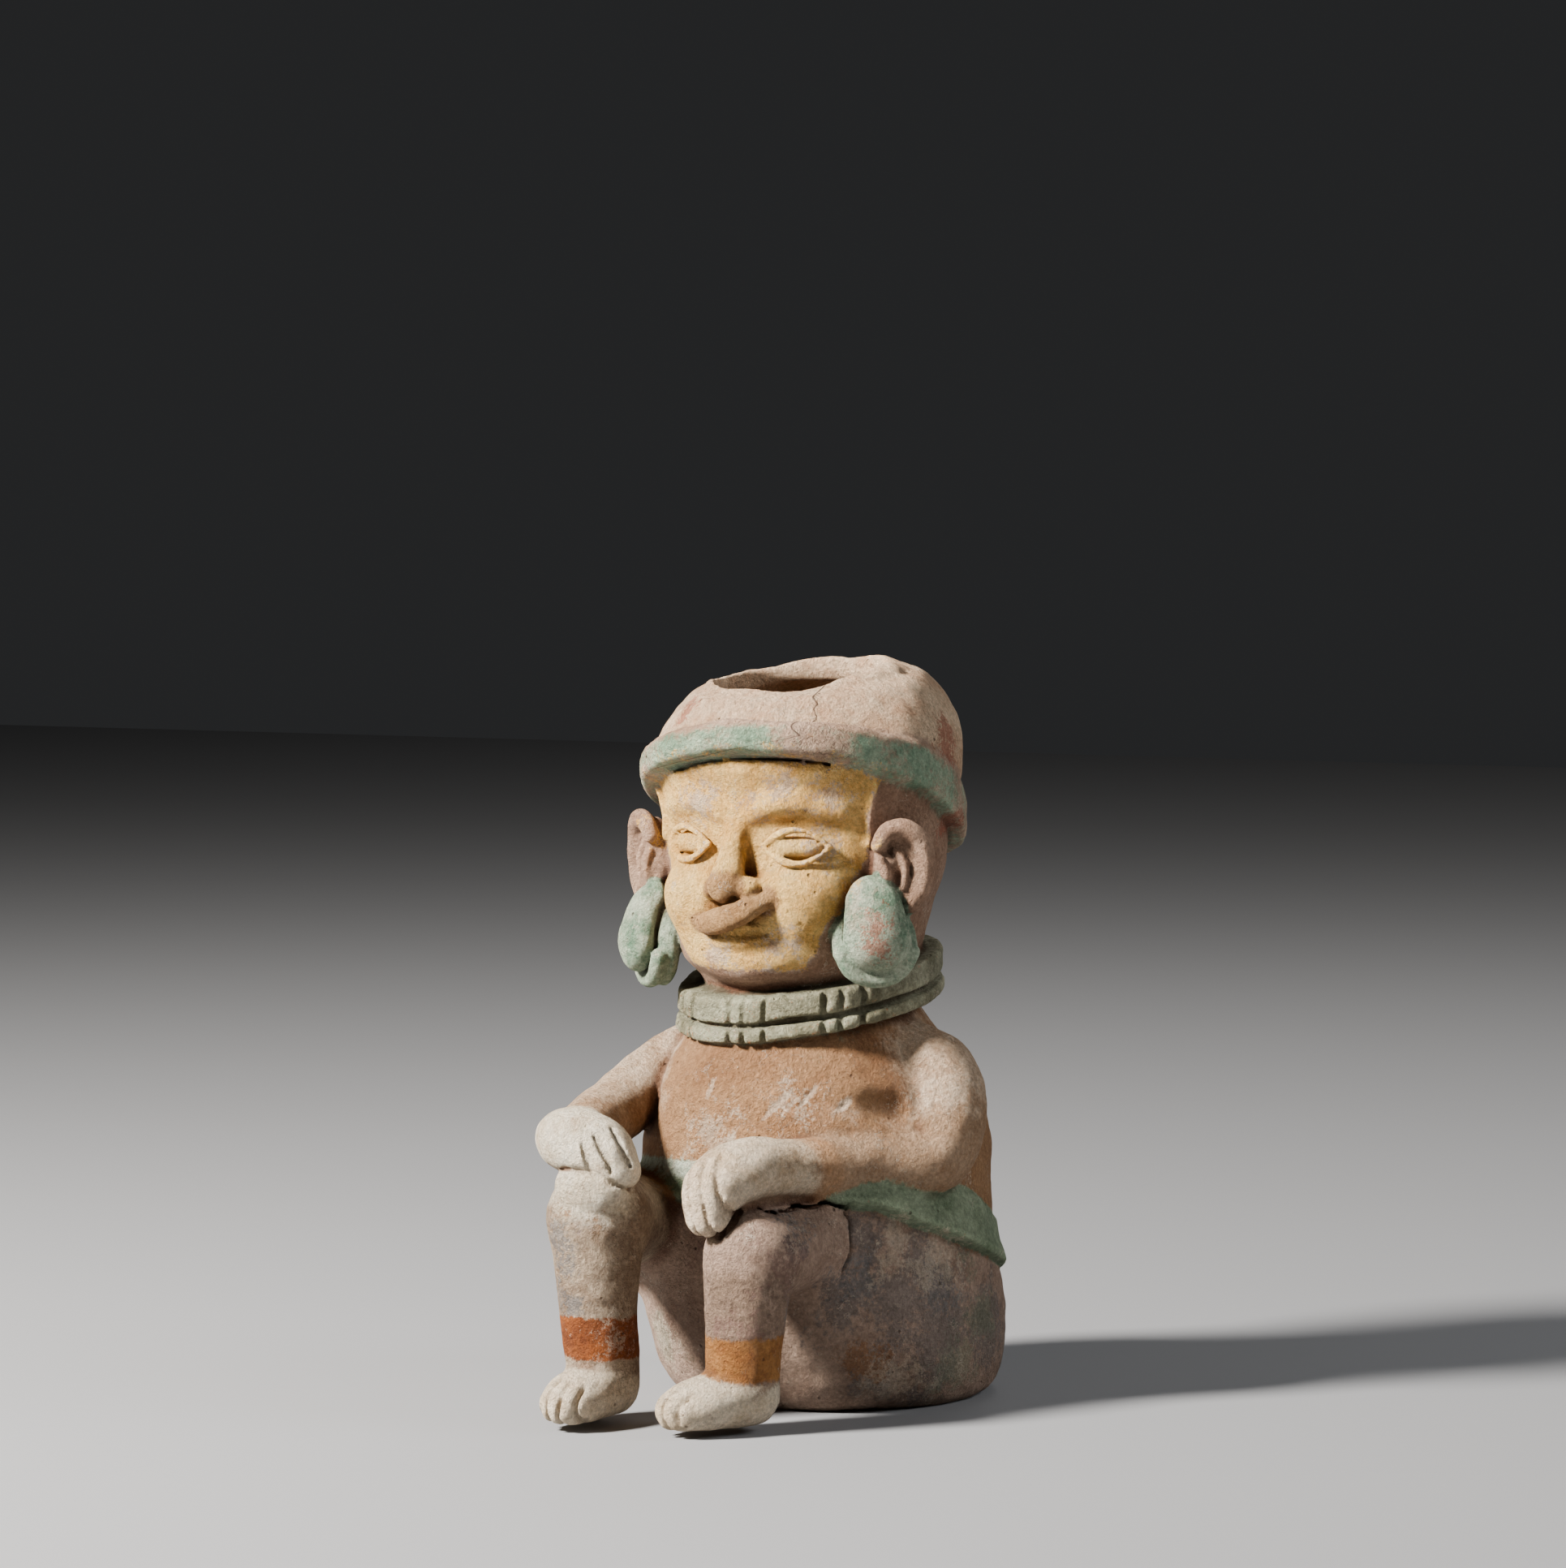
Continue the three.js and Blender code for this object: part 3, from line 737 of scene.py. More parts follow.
def addCracks(w=wearForm):
    # the long crack between hand and thigh, and the one that runs down the thigh from its end
    s, x, y, z = window(((8, -96, 56), (42, -44, 76)), 1.0)
    flat = 0 * (x + y + z)
    c = w["handCrack"]
    jag = 1.3 * softNoise(x + flat, y + flat, flat, 5, 21)
    jag = jag + 0.6 * softNoise(x + flat, y + flat, flat, 1.8, 22)
    thick = c["half"] + 0.3 * softNoise(x, y, z, 4, 23)
    sheet = np.abs(z - c["height"] - 0.03 * (y + 70) - jag) - thick
    sheet = most(sheet, np.abs(y - c["middle"] + flat) - c["reach"], c["end"] - x)
    sheet = np.maximum(sheet, -(field[s] + w["crackDepth"]))
    field[s] = softMax(field[s], -sheet, 0.4)
    s, x, y, z = window(((24, -58, 40), (44, -42, 67)), 1.0)
    flat = 0 * (x + y + z)
    jag = 1.0 * softNoise(flat, flat, z + flat, 5, 24) + 0.5 * softNoise(flat, flat, z + flat, 1.6, 25)
    c = w["thighCrack"]
    sheet = np.abs(y - c["place"] - 0.1 * (z - 54) - jag) - c["half"] * smooth(41, 48, z)
    sheet = most(sheet, z - c["top"] + flat, c["foot"] - z, 1.0 - hollowField[s])
    sheet = np.maximum(sheet, -(field[s] + w["crackDepth"] - 1))
    field[s] = softMax(field[s], -sheet, 0.4)


def addScratches(w=wearForm):
    lines = []
    for start, end, girth in w["scratches"]:
        rows = [(*start, girth * 0.5)]
        rows += [(*(np.array(start) * (1 - t) + np.array(end) * t), girth) for t in (0.35, 0.7)]
        rows += [(*end, girth * 0.4)]
        line = Chain(rows, 8)
        s, x, y, z = window(line.box, 4.0)
        cut = np.maximum(line(x, y, z), -(field[s] + 0.6))
        field[s] = softMax(field[s], -cut, 0.4)
        lines.append(line)
    return lines


def addPits(w=wearForm):
    dice = np.random.default_rng(7)
    near = np.nonzero((np.abs(field) < 0.5) & (hollowField > 3.5))
    picks = dice.integers(0, len(near[0]), w["pits"])
    for pick in picks:
        centre = [axes[i][near[i][pick]] for i in range(3)]
        size = 0.5 + 0.7 * dice.random() ** 2
        pit = Lump(centre, size * (0.8 + 0.5 * dice.random(3)), 180 * dice.random())
        carveForm(pit, 0.5)


roughen()
addCracks()
scratchLines = addScratches()
addPits()
field[:] = np.maximum(softMax(field, -hollowField, 1.5), -axes[2][None, None, :])
del hollowField
print("clay worn and hollow cut")


# one mesh from the field, then thinned where it is plain

meshForm = {"triangles": 190000}


def addObject(name, data):
    made = bpy.data.objects.new(name, data)
    bpy.context.scene.collection.objects.link(made)
    return made


def meshField():
    grid = vdb.FloatGrid(3.0)
    grid.copyFromArray(np.clip(field, -3.0, 3.0))
    points, _, quads = grid.convertToPolygons(isovalue=0.0, adaptivity=0.0)
    points = (points * voxel + low) / 1000.0
    mesh = bpy.data.meshes.new("seatedFigureVessel")
    mesh.from_pydata(points.tolist(), [], quads[:, ::-1].tolist())
    mesh.update()
    vessel = addObject("seatedFigureVessel", mesh)
    count = len(quads) * 2
    if count > meshForm["triangles"]:
        thin = vessel.modifiers.new("thin", "DECIMATE")
        thin.ratio = meshForm["triangles"] / count
        thin.use_collapse_triangulate = True
        held = bpy.context.evaluated_depsgraph_get()
        settled = bpy.data.meshes.new_from_object(vessel.evaluated_get(held))
        vessel.modifiers.clear()
        vessel.data = settled
        bpy.data.meshes.remove(mesh)
        settled.name = "seatedFigureVessel"
    vessel.data.shade_smooth()
    return vessel


vessel = meshField()
print("meshed:", len(vessel.data.vertices), "points,", len(vessel.data.polygons), "faces")

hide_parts("seated_figure_vessel")
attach(vessel, "root")


# where each paint and stain lies: distances in millimetres, positive inside, kept on the points of the mesh

def blurField(reach):
    # the field averaged over a small cube, to tell raised edges from recesses
    blurred = field
    width = 2 * reach + 1
    for axis in range(3):
        before, after = np.take(blurred, [0] * (reach + 1), axis), np.take(blurred, [-1] * reach, axis)
        padded = np.concatenate([before, blurred, after], axis)
        total = np.cumsum(padded, axis, dtype=np.float64)
        upper = np.take(total, range(width, total.shape[axis]), axis)
        lower = np.take(total, range(0, total.shape[axis] - width), axis)
        blurred = ((upper - lower) / width).astype(np.float32)
    return blurred


def sample(grid, points):
    place = (points - low) / voxel
    cell = np.clip(np.floor(place).astype(int), 0, counts - 2)
    share = place - cell
    total = 0.0
    for corner in range(8):
        bits = [(corner >> i) & 1 for i in range(3)]
        weight = np.prod([share[:, i] if bits[i] else 1 - share[:, i] for i in range(3)], axis=0)
        total = total + weight * grid[cell[:, 0] + bits[0], cell[:, 1] + bits[1], cell[:, 2] + bits[2]]
    return total


def patches(points, rows):
    # the deepest of several round patches
    away = [row[3] - np.linalg.norm(points - np.array(row[:3]), axis=1) for row in rows]
    return np.max(away, axis=0)


stainPlaces = {
    "crackle": [(28.4, -53, 208.8, 9), (36, -48, 206, 5), (24, -55, 209, 5)],
    "sootStain": [
        (39.6, -42.8, 49.4, 9), (34.3, -48.6, 34, 8), (45, -37, 37, 10), (53, -21, 27, 13),
        (42.3, -37.7, 16.2, 8), (49, -29, 46, 7), (50, -25, 13, 9), (56, 4, 22, 11), (44, 28, 18, 13),
        (20, 46, 30, 12), (-20, 45, 16, 12), (-48, 22, 28, 13), (-54, -8, 20, 9), (0, 50, 60, 8),
    ],
    "ochreStain": [
        (37.9, -42.5, 17.4, 5.2), (41.5, -39.5, 16.4, 3.6), (-41, -88, 74, 5), (22, -58, 60, 4),
        (-52, 10, 60, 5), (10, 46, 84, 5),
    ],
    "redStain": [
        (42.5, -44, 152.5, 4.2), (43.6, -43.5, 146.2, 3.8), (-26.2, -43.1, 217.2, 4),
        (41.7, -0.4, 184, 6), (44, -6, 209, 6), (-30, 24, 214, 8), (30, 24, 190, 6),
    ],
    "paleStain": [
        (52, -23, 46, 8), (42, -36, 10, 5), (46, -28, 7, 5), (-34, -48, 18, 7), (30, 20, 120, 10),
        (-44, -10, 112, 8), (0, 44, 100, 9), (-14, -103, 30, 4), (44, -36, 52, 6), (20, -57, 100, 6),
        (-8, -60, 86, 7), (37, -47, 157, 4.5),
    ],
    "greenStain": [
        (53.8, -12.7, 13.8, 8), (55.7, -1.1, 27.7, 7), (-31.5, -49.3, 19, 7), (57, -8, 48, 6),
        (-50, 20, 50, 8), (20, 50, 14, 8), (28, -40, 118, 3),
    ],
    "blueStain": [
        (-33.5, -104, 58, 4), (-33, -104.5, 48, 4), (-31.5, -104, 38, 3.5), (53, -20, 40, 7),
        (36, -46, 44, 6), (30, -74, 60, 5), (26, -78, 38, 5),
    ],
    "mauveStain": [(24, -92, 30, 6), (27, -80, 50, 9), (-12, -70, 50, 8), (-22, -104, 66, 3)],
    "fleckStain": [
        (-16.1, -51.4, 189.8, 5), (14, -53, 196, 4), (24, -46, 176, 4), (4, -52, 189, 3.5),
        (-24, -46, 160, 4), (12, -50, 146, 4), (-8, -54, 142, 3.5), (26, -44, 192, 4),
    ],
}


paintForm = {
    "insideTop": 217.0,
    "headTop": 206.0,
    "headFoot": 130.0,
    "chinLine": 137.5,  # where the yellow of the face ends
    "shoulderLine": 97.0,
    "shinTop": 50.0,
    "shinFront": -62.0,
    "kneeFront": -88.0,
    "footTop": 20.0,
    "wrist": (-56.5, 3.4),  # middle and half width of the painted band
    "beltPale": (-50, 26),  # degrees between which the belt's upper edge is pale
    "edgeReach": 2,  # cells over which raised edges are told apart
    "hollowReach": 7,  # and recesses, darkened with dirt and painted shade
}


def markPaints(mesh, p=paintForm):
    points = np.empty(len(mesh.vertices) * 3, np.float32)
    mesh.vertices.foreach_get("co", points)
    points = points.reshape(-1, 3).astype(np.float64) * 1000.0
    x, y, z = points.T
    radius, height, u, v = unbend(x, y, z)
    turn = np.degrees(np.arctan2(u, -v))
    skin = turnedField(radius, height)
    brim, collar, belt = brimField(x, y, z), collarField(x, y, z), beltField(x, y, z)
    brimUp, brimTurn = bandFrame(x, y, z, brimForm)[1:]
    beltUp, beltTurn = bandFrame(x, y, z, beltForm)[1:]

    def nearest(*forms):
        return least(*[form(x, y, z) for form in forms])

    arms, hands, feet = nearest(leftArm, rightArm), nearest(leftHand, rightHand), nearest(leftFoot, rightFoot)
    ear, ornament = nearest(*ears), nearest(*ornaments)
    faceEdge = edgeAt(height, faceForm["paintEdge"])
    stray = 2.4 * softNoise(x, y, z, 7, 61) + 1.2 * softNoise(x, y, z, 3, 62)
    belowBrim = edgeAt(brimTurn, brimForm["bottom"]) + 1.5 - brimUp
    face = least((faceEdge - np.abs(turn)) * 0.75 + stray, z - p["chinLine"], belowBrim)
    face = least(face, brim - 0.7, ear - 0.5, ornament - 0.6)
    beltFoot = beltForm["centre"][2] + beltForm["slope"][1] * (y - beltForm["centre"][1])
    beltFoot = beltFoot + edgeAt(beltTurn, beltForm["bottom"])
    bands = {}
    for side, calf in (("left", leftCalf), ("right", rightCalf)):
        start, end = legForms["bands"][side]
        bands[side] = least(end - z, z - start, 2.5 - calf(x, y, z))
    keptPaint = edgeAt(brimTurn, brimForm["paint"])
    hairline = x - edgeAt(z, wearForm["hairline"]) + 5 * np.maximum(0, y + 30)
    hairline = hairline + 5 * np.maximum(0, np.abs(z - 218.5) - 7.5)
    wrist, wristHalf = p["wrist"]
    paleStart, paleEnd = p["beltPale"]
    brimTop, beltTop = edgeAt(brimTurn, brimForm["top"]), edgeAt(beltTurn, beltForm["top"])
    noseTip = Lump((-3, -60, 163), (7, 6, 5))
    marks = {
        "inside": np.minimum(1.5 - innerField(u, v, height, z), p["insideTop"] - z),
        "onCap": np.minimum(brimUp - brimTop + 0.5, 4 - skin),
        "onHead": np.minimum(z - p["headFoot"], p["headTop"] - z),
        "onLimbs": 1.5 - least(arms, hands, ear - 0.5),
        "lowerBody": np.minimum(beltFoot - z, rightCalf(x, y, z) - 1.0),
        # the left shin, whose darker coat is partly painted shade
        "leftShin": np.minimum(1.8 - leftCalf(x, y, z), p["shinTop"] - z),
        "rightShin": np.minimum(1.8 - nearest(rightCalf, kneecap, rightThigh), p["shinFront"] - y),
        "shoulders": np.minimum(1.5 - arms, z - p["shoulderLine"]),
        "knee": np.minimum(1.6 - nearest(kneecap, rightHand), p["kneeFront"] - y),
        "strokes": 0.3 - nearest(*scratchLines),
        "hairline": hairline,
        "beltPale": least(1.2 - belt, beltUp - beltTop + 4.5, paleEnd - beltTurn, beltTurn - paleStart),
        "hands": 1.6 - hands,
        "feet": np.minimum(1.6 - feet, p["footTop"] - z),
        "rightBand": bands["right"],
        "leftBand": bands["left"],
        "wristBand": np.minimum(wristHalf - np.abs(y - wrist), 2.0 - leftArm(x, y, z)),
        "brimClay": 1.4 - brim,
        "brimPaint": least(1.0 - brim, brimTop - 3.6 - brimUp, keptPaint),
        "collarPaint": 0.9 - collar,
        "beltPaint": np.minimum(1.2 - belt, 5.0 - skin),
        "ornamentPaint": 1.1 - ornament,
        "facePaint": face,
        "noseClay": 1.7 - np.minimum(crescent(x, y, z), noseTip(x, y, z) + 0.8),
    }
    for name, rows in stainPlaces.items():
        marks[name] = patches(points, rows)
    here = sample(field, points)
    marks["raised"] = sample(blurField(p["edgeReach"]), points) - here
    # recesses, which the clay darkens with dirt and painted shade
    marks["hollowed"] = here - sample(blurField(p["hollowReach"]), points)
    for name, values in marks.items():
        layer = mesh.attributes.new(name, "FLOAT", "POINT")
        layer.data.foreach_set("value", np.clip(values, -30, 30).astype(np.float32))


markPaints(vessel.data)
print("paints and stains marked")


# shared effects, as node groups

def newGroup(name, inputs, *outputs):
    # an empty group, the values it is given and the sockets it puts out
    group = bpy.data.node_groups.new(name, "ShaderNodeTree")
    for label, value in inputs.items():
        socket = group.interface.new_socket(label, in_out="INPUT", socket_type="NodeSocketFloat")
        socket.default_value = value
    for label in outputs:
        group.interface.new_socket(label, in_out="OUTPUT", socket_type="NodeSocketFloat")
    return group, group.nodes.new("NodeGroupInput").outputs, group.nodes.new("NodeGroupOutput").inputs


def newNode(tree, kind, **settings):
    node = tree.nodes.new("ShaderNode" + kind)
    for name, value in settings.items():
        setattr(node, name, value)
    return node


def feed(tree, socket, value):
    # a number or a colour is set on the socket, and another node's output is linked to it
    if isinstance(value, (int, float, tuple)):
        socket.default_value = value
    else:
        tree.links.new(value, socket)


def noiseAt(tree, scale, detail=4.0, roughness=0.6, shift=0.0):
    # noise over the piece's own coordinates; scale may be a number or a socket
    moved = newNode(tree, "VectorMath", operation="ADD")
    moved.inputs[1].default_value = (shift, shift * 0.7, -shift * 0.4)
    tree.links.new(newNode(tree, "TexCoord").outputs["Object"], moved.inputs[0])
    noise = newNode(tree, "TexNoise")
    noise.inputs["Detail"].default_value = detail
    noise.inputs["Roughness"].default_value = roughness
    tree.links.new(moved.outputs[0], noise.inputs["Vector"])
    feed(tree, noise.inputs["Scale"], scale)
    return noise.outputs["Fac"]


def sums(tree, operation, *values):
    node = newNode(tree, "Math", operation=operation)
    for socket, value in zip(node.inputs, values):
        feed(tree, socket, value)
    return node.outputs[0]


def plus(tree, a, b):
    return sums(tree, "ADD", a, b)


def less(tree, a, b):
    return sums(tree, "SUBTRACT", a, b)


def times(tree, a, b):
    return sums(tree, "MULTIPLY", a, b)


def ranged(tree, value, low, high, toLow=0.0, toHigh=1.0):
    node = newNode(tree, "MapRange", interpolation_type="SMOOTHSTEP")
    labels = ("Value", "From Min", "From Max", "To Min", "To Max")
    for label, amount in zip(labels, (value, low, high, toLow, toHigh)):
        feed(tree, node.inputs[label], amount)
    return node.outputs[0]


def makeWornPaint():
    # how far a coat of paint covers: a ragged edge, a softer or harder one, and chips in its middle
    inputs = {"Inside": 0.0, "Ragged": 1.0, "Softness": 0.4, "Size": 150.0, "Wear": 0.1, "Raised": 0.0}
    group, given, result = newGroup("wornPaint", inputs, "Cover")
    coarse = less(group, noiseAt(group, given["Size"], 5, 0.65), 0.5)
    fine = less(group, noiseAt(group, times(group, given["Size"], 6.0), 4, 0.7, 0.3), 0.5)
    ragged = sums(group, "MULTIPLY_ADD", fine, 0.9, coarse)
    ragged = times(group, ragged, times(group, given["Ragged"], 2.6))
    edge = plus(group, given["Inside"], ragged)
    cover = ranged(group, edge, times(group, given["Softness"], -1.0), given["Softness"])
    rubbed = plus(group, noiseAt(group, given["Size"], 9, 0.8, 0.8), fine)
    chips = sums(group, "MULTIPLY_ADD", given["Raised"], 0.2, rubbed)
    start = less(group, 0.8, times(group, given["Wear"], 0.42))
    chipped = ranged(group, chips, start, plus(group, start, 0.12))
    shown = times(group, cover, less(group, 1.0, chipped))
    group.links.new(shown, result["Cover"])
    return group


def makeMottle():
    # uneven tone over a coat or the bare clay
    group, given, result = newGroup("mottle", {"Size": 60.0, "Contrast": 1.0}, "Tone")
    wide = noiseAt(group, given["Size"], 7, 0.75, 1.7)
    narrow = noiseAt(group, times(group, given["Size"], 7.0), 5, 0.7, 2.3)
    mixed = sums(group, "MULTIPLY_ADD", narrow, 0.25, times(group, wide, 0.75))
    spread = sums(group, "DIVIDE", 0.2, given["Contrast"])
    tone = ranged(group, mixed, less(group, 0.5, spread), plus(group, 0.5, spread))
    group.links.new(tone, result["Tone"])
    return group


def makeClayGrain():
    # the sandy body of the clay: height for the bump, its fine tone, pale grit and dark pores
    inputs = {"Size": 700.0, "Pores": 0.3}
    group, given, result = newGroup("clayGrain", inputs, "Height", "Tone", "Grit", "Pores")
    sand = noiseAt(group, given["Size"], 5, 0.75)
    lumps = noiseAt(group, times(group, given["Size"], 0.3), 4, 0.65, 0.9)
    cells = newNode(group, "TexVoronoi")
    group.links.new(newNode(group, "TexCoord").outputs["Object"], cells.inputs["Vector"])
    group.links.new(times(group, given["Size"], 0.45), cells.inputs["Scale"])
    chosen = newNode(group, "SeparateColor")
    group.links.new(cells.outputs["Color"], chosen.inputs[0])
    picked = sums(group, "LESS_THAN", chosen.outputs[0], times(group, given["Pores"], 0.3))
    pores = times(group, picked, ranged(group, cells.outputs["Distance"], 0.24, 0.08))
    height = sums(group, "MULTIPLY_ADD", lumps, 1.1, sand)
    height = less(group, height, times(group, pores, 0.7))
    group.links.new(height, result["Height"])
    fine = noiseAt(group, times(group, given["Size"], 1.3), 3, 0.8, 3.1)
    tone = sums(group, "MULTIPLY_ADD", sand, 0.6, times(group, fine, 0.4))
    group.links.new(tone, result["Tone"])
    group.links.new(ranged(group, fine, 0.62, 0.74), result["Grit"])
    group.links.new(pores, result["Pores"])
    return group


def makeScuffs():
    # fine pale lines left by roots and handling, gathered in patches
    group, given, result = newGroup("scuffs", {"Size": 90.0, "Amount": 0.5}, "Lines")
    total = None
    for shift in (4.0, 6.5):
        wander = noiseAt(group, given["Size"], 4, 0.6, shift)
        line = ranged(group, sums(group, "ABSOLUTE", less(group, wander, 0.5)), 0.010, 0.002)
        total = line if total is None else sums(group, "MAXIMUM", total, line)
    where = noiseAt(group, times(group, given["Size"], 0.6), 5, 0.7, 9.0)
    start = less(group, 0.75, times(group, given["Amount"], 0.3))
    lines = times(group, total, ranged(group, where, start, plus(group, start, 0.12)))
    group.links.new(lines, result["Lines"])
    return group


def makeCrackle():
    # a net of hair cracks in dried paint
    group, given, result = newGroup("crackle", {"Size": 260.0}, "Lines")
    place = newNode(group, "TexCoord").outputs["Object"]
    bent = newNode(group, "VectorMath", operation="MULTIPLY_ADD")
    swirl = newNode(group, "TexNoise")
    swirl.inputs["Scale"].default_value = 300.0
    group.links.new(place, swirl.inputs["Vector"])
    group.links.new(swirl.outputs["Color"], bent.inputs[0])
    bent.inputs[1].default_value = (0.006, 0.006, 0.006)
    group.links.new(place, bent.inputs[2])
    net = newNode(group, "TexVoronoi", feature="DISTANCE_TO_EDGE")
    group.links.new(bent.outputs[0], net.inputs["Vector"])
    group.links.new(given["Size"], net.inputs["Scale"])
    group.links.new(ranged(group, net.outputs["Distance"], 0.06, 0.01), result["Lines"])
    return group


def linear(colour):
    # a colour as on a paint chart, from 0 to 255
    parts = [c / 255 / 12.92 if c <= 10 else ((c / 255 + 0.055) / 1.055) ** 2.4 for c in colour]
    return (*parts, 1.0)


wornPaint, mottle, clayGrain = makeWornPaint(), makeMottle(), makeClayGrain()
scuffs, crackle = makeScuffs(), makeCrackle()

clayForm = {
    "dark": (140, 96, 62),
    "light": (178, 136, 96),
    "mottleSize": 45.0,
    "roughness": 0.9,
    "shine": 0.25,
    "bump": 1.0,
    "bumpDistance": 0.003,
    "grainSize": 720.0,
    "pores": 0.14,
    "dirtAndShade": (138, 98, 72),  # painted shade and dirt, multiplied over recesses
    "crack": (74, 52, 40),
    "scuff": (222, 206, 184),
    "scuffSize": 110.0,
    "scuffAmount": 0.75,
    "scuffStrength": 0.55,
    "crackleSize": 330.0,
    "edgeLight": 1.28,  # how much paler rubbed edges are
    "paintHeight": 0.12,  # how far thick paint stands up
}

# what a coat has unless it says otherwise: sizes of the mottling and of the ragged edge in turns a metre,
# how far the edge strays and how soft it is in millimetres, how worn it is and how well it covers
plainCoat = {"mottle": 70.0, "ragged": 2.0, "soft": 1.0, "size": 120.0, "wear": 0.1, "strength": 0.88}


def newCoat(dark, light, **own):
    return {**plainCoat, "dark": dark, "light": light, **own}


# coats from the first to the last, each between a darker and a lighter tone
coats = {
    "onLimbs": newCoat((156, 124, 94), (194, 164, 134), ragged=3.0, soft=3.0, wear=0.0),
    "shoulders": newCoat((202, 168, 136), (238, 214, 186), ragged=8.0, soft=8.0, wear=0.1),
    "onHead": newCoat((148, 114, 92), (184, 150, 126), soft=3.0, wear=0.0),
    "onCap": newCoat((196, 154, 120), (240, 212, 178), mottle=55.0, ragged=1.0, wear=0.05),
    "lowerBody": newCoat((146, 120, 104), (196, 168, 148), mottle=40.0, ragged=3.0, soft=2.0, wear=0.05),
    "sootStain": newCoat(
        (90, 88, 88), (136, 128, 122), ragged=22.0, soft=5.0, size=75.0, wear=0.4, strength=0.62,
    ),
    # the left shin is dark partly for its own mauve-brown colour and partly as painted shade
    "leftShin": newCoat((90, 70, 56), (152, 126, 104), mottle=50.0, ragged=3.5, soft=3.0),
    "rightShin": newCoat((124, 102, 82), (194, 174, 148), mottle=60.0, ragged=2.5),
    "blueStain": newCoat((98, 98, 100), (142, 136, 130), ragged=14.0, soft=3.0, wear=0.3, strength=0.7),
    "mauveStain": newCoat((112, 82, 74), (146, 112, 100), ragged=14.0, soft=3.0, wear=0.3, strength=0.6),
    "hands": newCoat((200, 172, 138), (240, 220, 192), soft=1.6),
    "knee": newCoat((216, 198, 168), (248, 238, 216), ragged=4.0, soft=3.0, wear=0.1),
    "feet": newCoat((204, 182, 150), (242, 226, 200), soft=1.2),
    "rightBand": newCoat((116, 52, 8), (156, 82, 24), ragged=1.4, soft=0.5, wear=0.18, strength=0.95),
    "leftBand": newCoat((140, 82, 26), (178, 122, 60), ragged=1.8, soft=0.8, wear=0.3),
    "wristBand": newCoat((176, 122, 76), (190, 142, 98), soft=1.2, wear=0.3, strength=0.5),
    "ochreStain": newCoat((150, 92, 40), (176, 120, 68), ragged=10.0, soft=2.0, wear=0.35, strength=0.6),
    "strokes": newCoat((206, 178, 150), (230, 208, 182), ragged=1.2, soft=0.5, wear=0.3, strength=0.6),
    "beltPaint": newCoat((100, 126, 98), (158, 176, 146), ragged=1.0, soft=0.5, wear=0.15),
    "beltPale": newCoat((186, 196, 172), (220, 222, 202), ragged=2.0, soft=1.0, wear=0.15, strength=0.85),
    "brimClay": newCoat((160, 128, 104), (200, 170, 146), soft=0.8, wear=0.05),
    "brimPaint": newCoat((100, 144, 116), (166, 188, 158), ragged=2.6, soft=1.6, size=90.0, wear=0.15),
    "collarPaint": newCoat((100, 102, 78), (172, 174, 146), ragged=0.8, soft=0.4, size=160.0, wear=0.3),
    "ornamentPaint": newCoat(
        (88, 130, 102), (192, 202, 176), ragged=0.8, soft=0.4, wear=0.14, strength=0.92,
    ),
    "faceGround": newCoat((176, 146, 128), (224, 206, 190), mark="facePaint", ragged=1.0, wear=0.0),
    "facePaint": newCoat((222, 162, 70), (254, 208, 118), ragged=2.0, soft=0.6, size=190.0, wear=0.3),
    "noseClay": newCoat((134, 94, 60), (176, 134, 92), ragged=1.2),
    "fleckStain": newCoat(
        (166, 138, 122), (216, 198, 184), ragged=14.0, size=210.0, wear=0.4, strength=0.65,
    ),
    "redStain": newCoat(
        (146, 72, 50), (176, 108, 84), ragged=9.0, soft=1.5, size=180.0, wear=0.3, strength=0.75,
    ),
    "greenStain": newCoat((112, 124, 98), (146, 154, 128), ragged=14.0, soft=4.0, wear=0.35, strength=0.45),
    "paleStain": newCoat(
        (200, 178, 150), (222, 206, 184), ragged=18.0, soft=3.0, size=160.0, wear=0.5, strength=0.5,
    ),
    "inside": newCoat((170, 128, 98), (196, 158, 128), mottle=40.0, ragged=1.0, soft=3.0, wear=0.0),
}


def placeGroup(tree, group, **values):
    node = newNode(tree, "Group", node_tree=group)
    for label, value in values.items():
        feed(tree, node.inputs[label], value)
    return node.outputs


def blend(tree, share, below, above, kind="MIX"):
    node = newNode(tree, "Mix", data_type="RGBA", blend_type=kind)
    for place, value in ((0, share), (6, below), (7, above)):
        feed(tree, node.inputs[place], value)
    return node.outputs[2]


def attribute(tree, name):
    return newNode(tree, "Attribute", attribute_name=name).outputs["Fac"]


def scaled(tree, colour, amount):
    node = newNode(tree, "VectorMath", operation="SCALE")
    tree.links.new(colour, node.inputs[0])
    tree.links.new(amount, node.inputs["Scale"])
    return node.outputs[0]


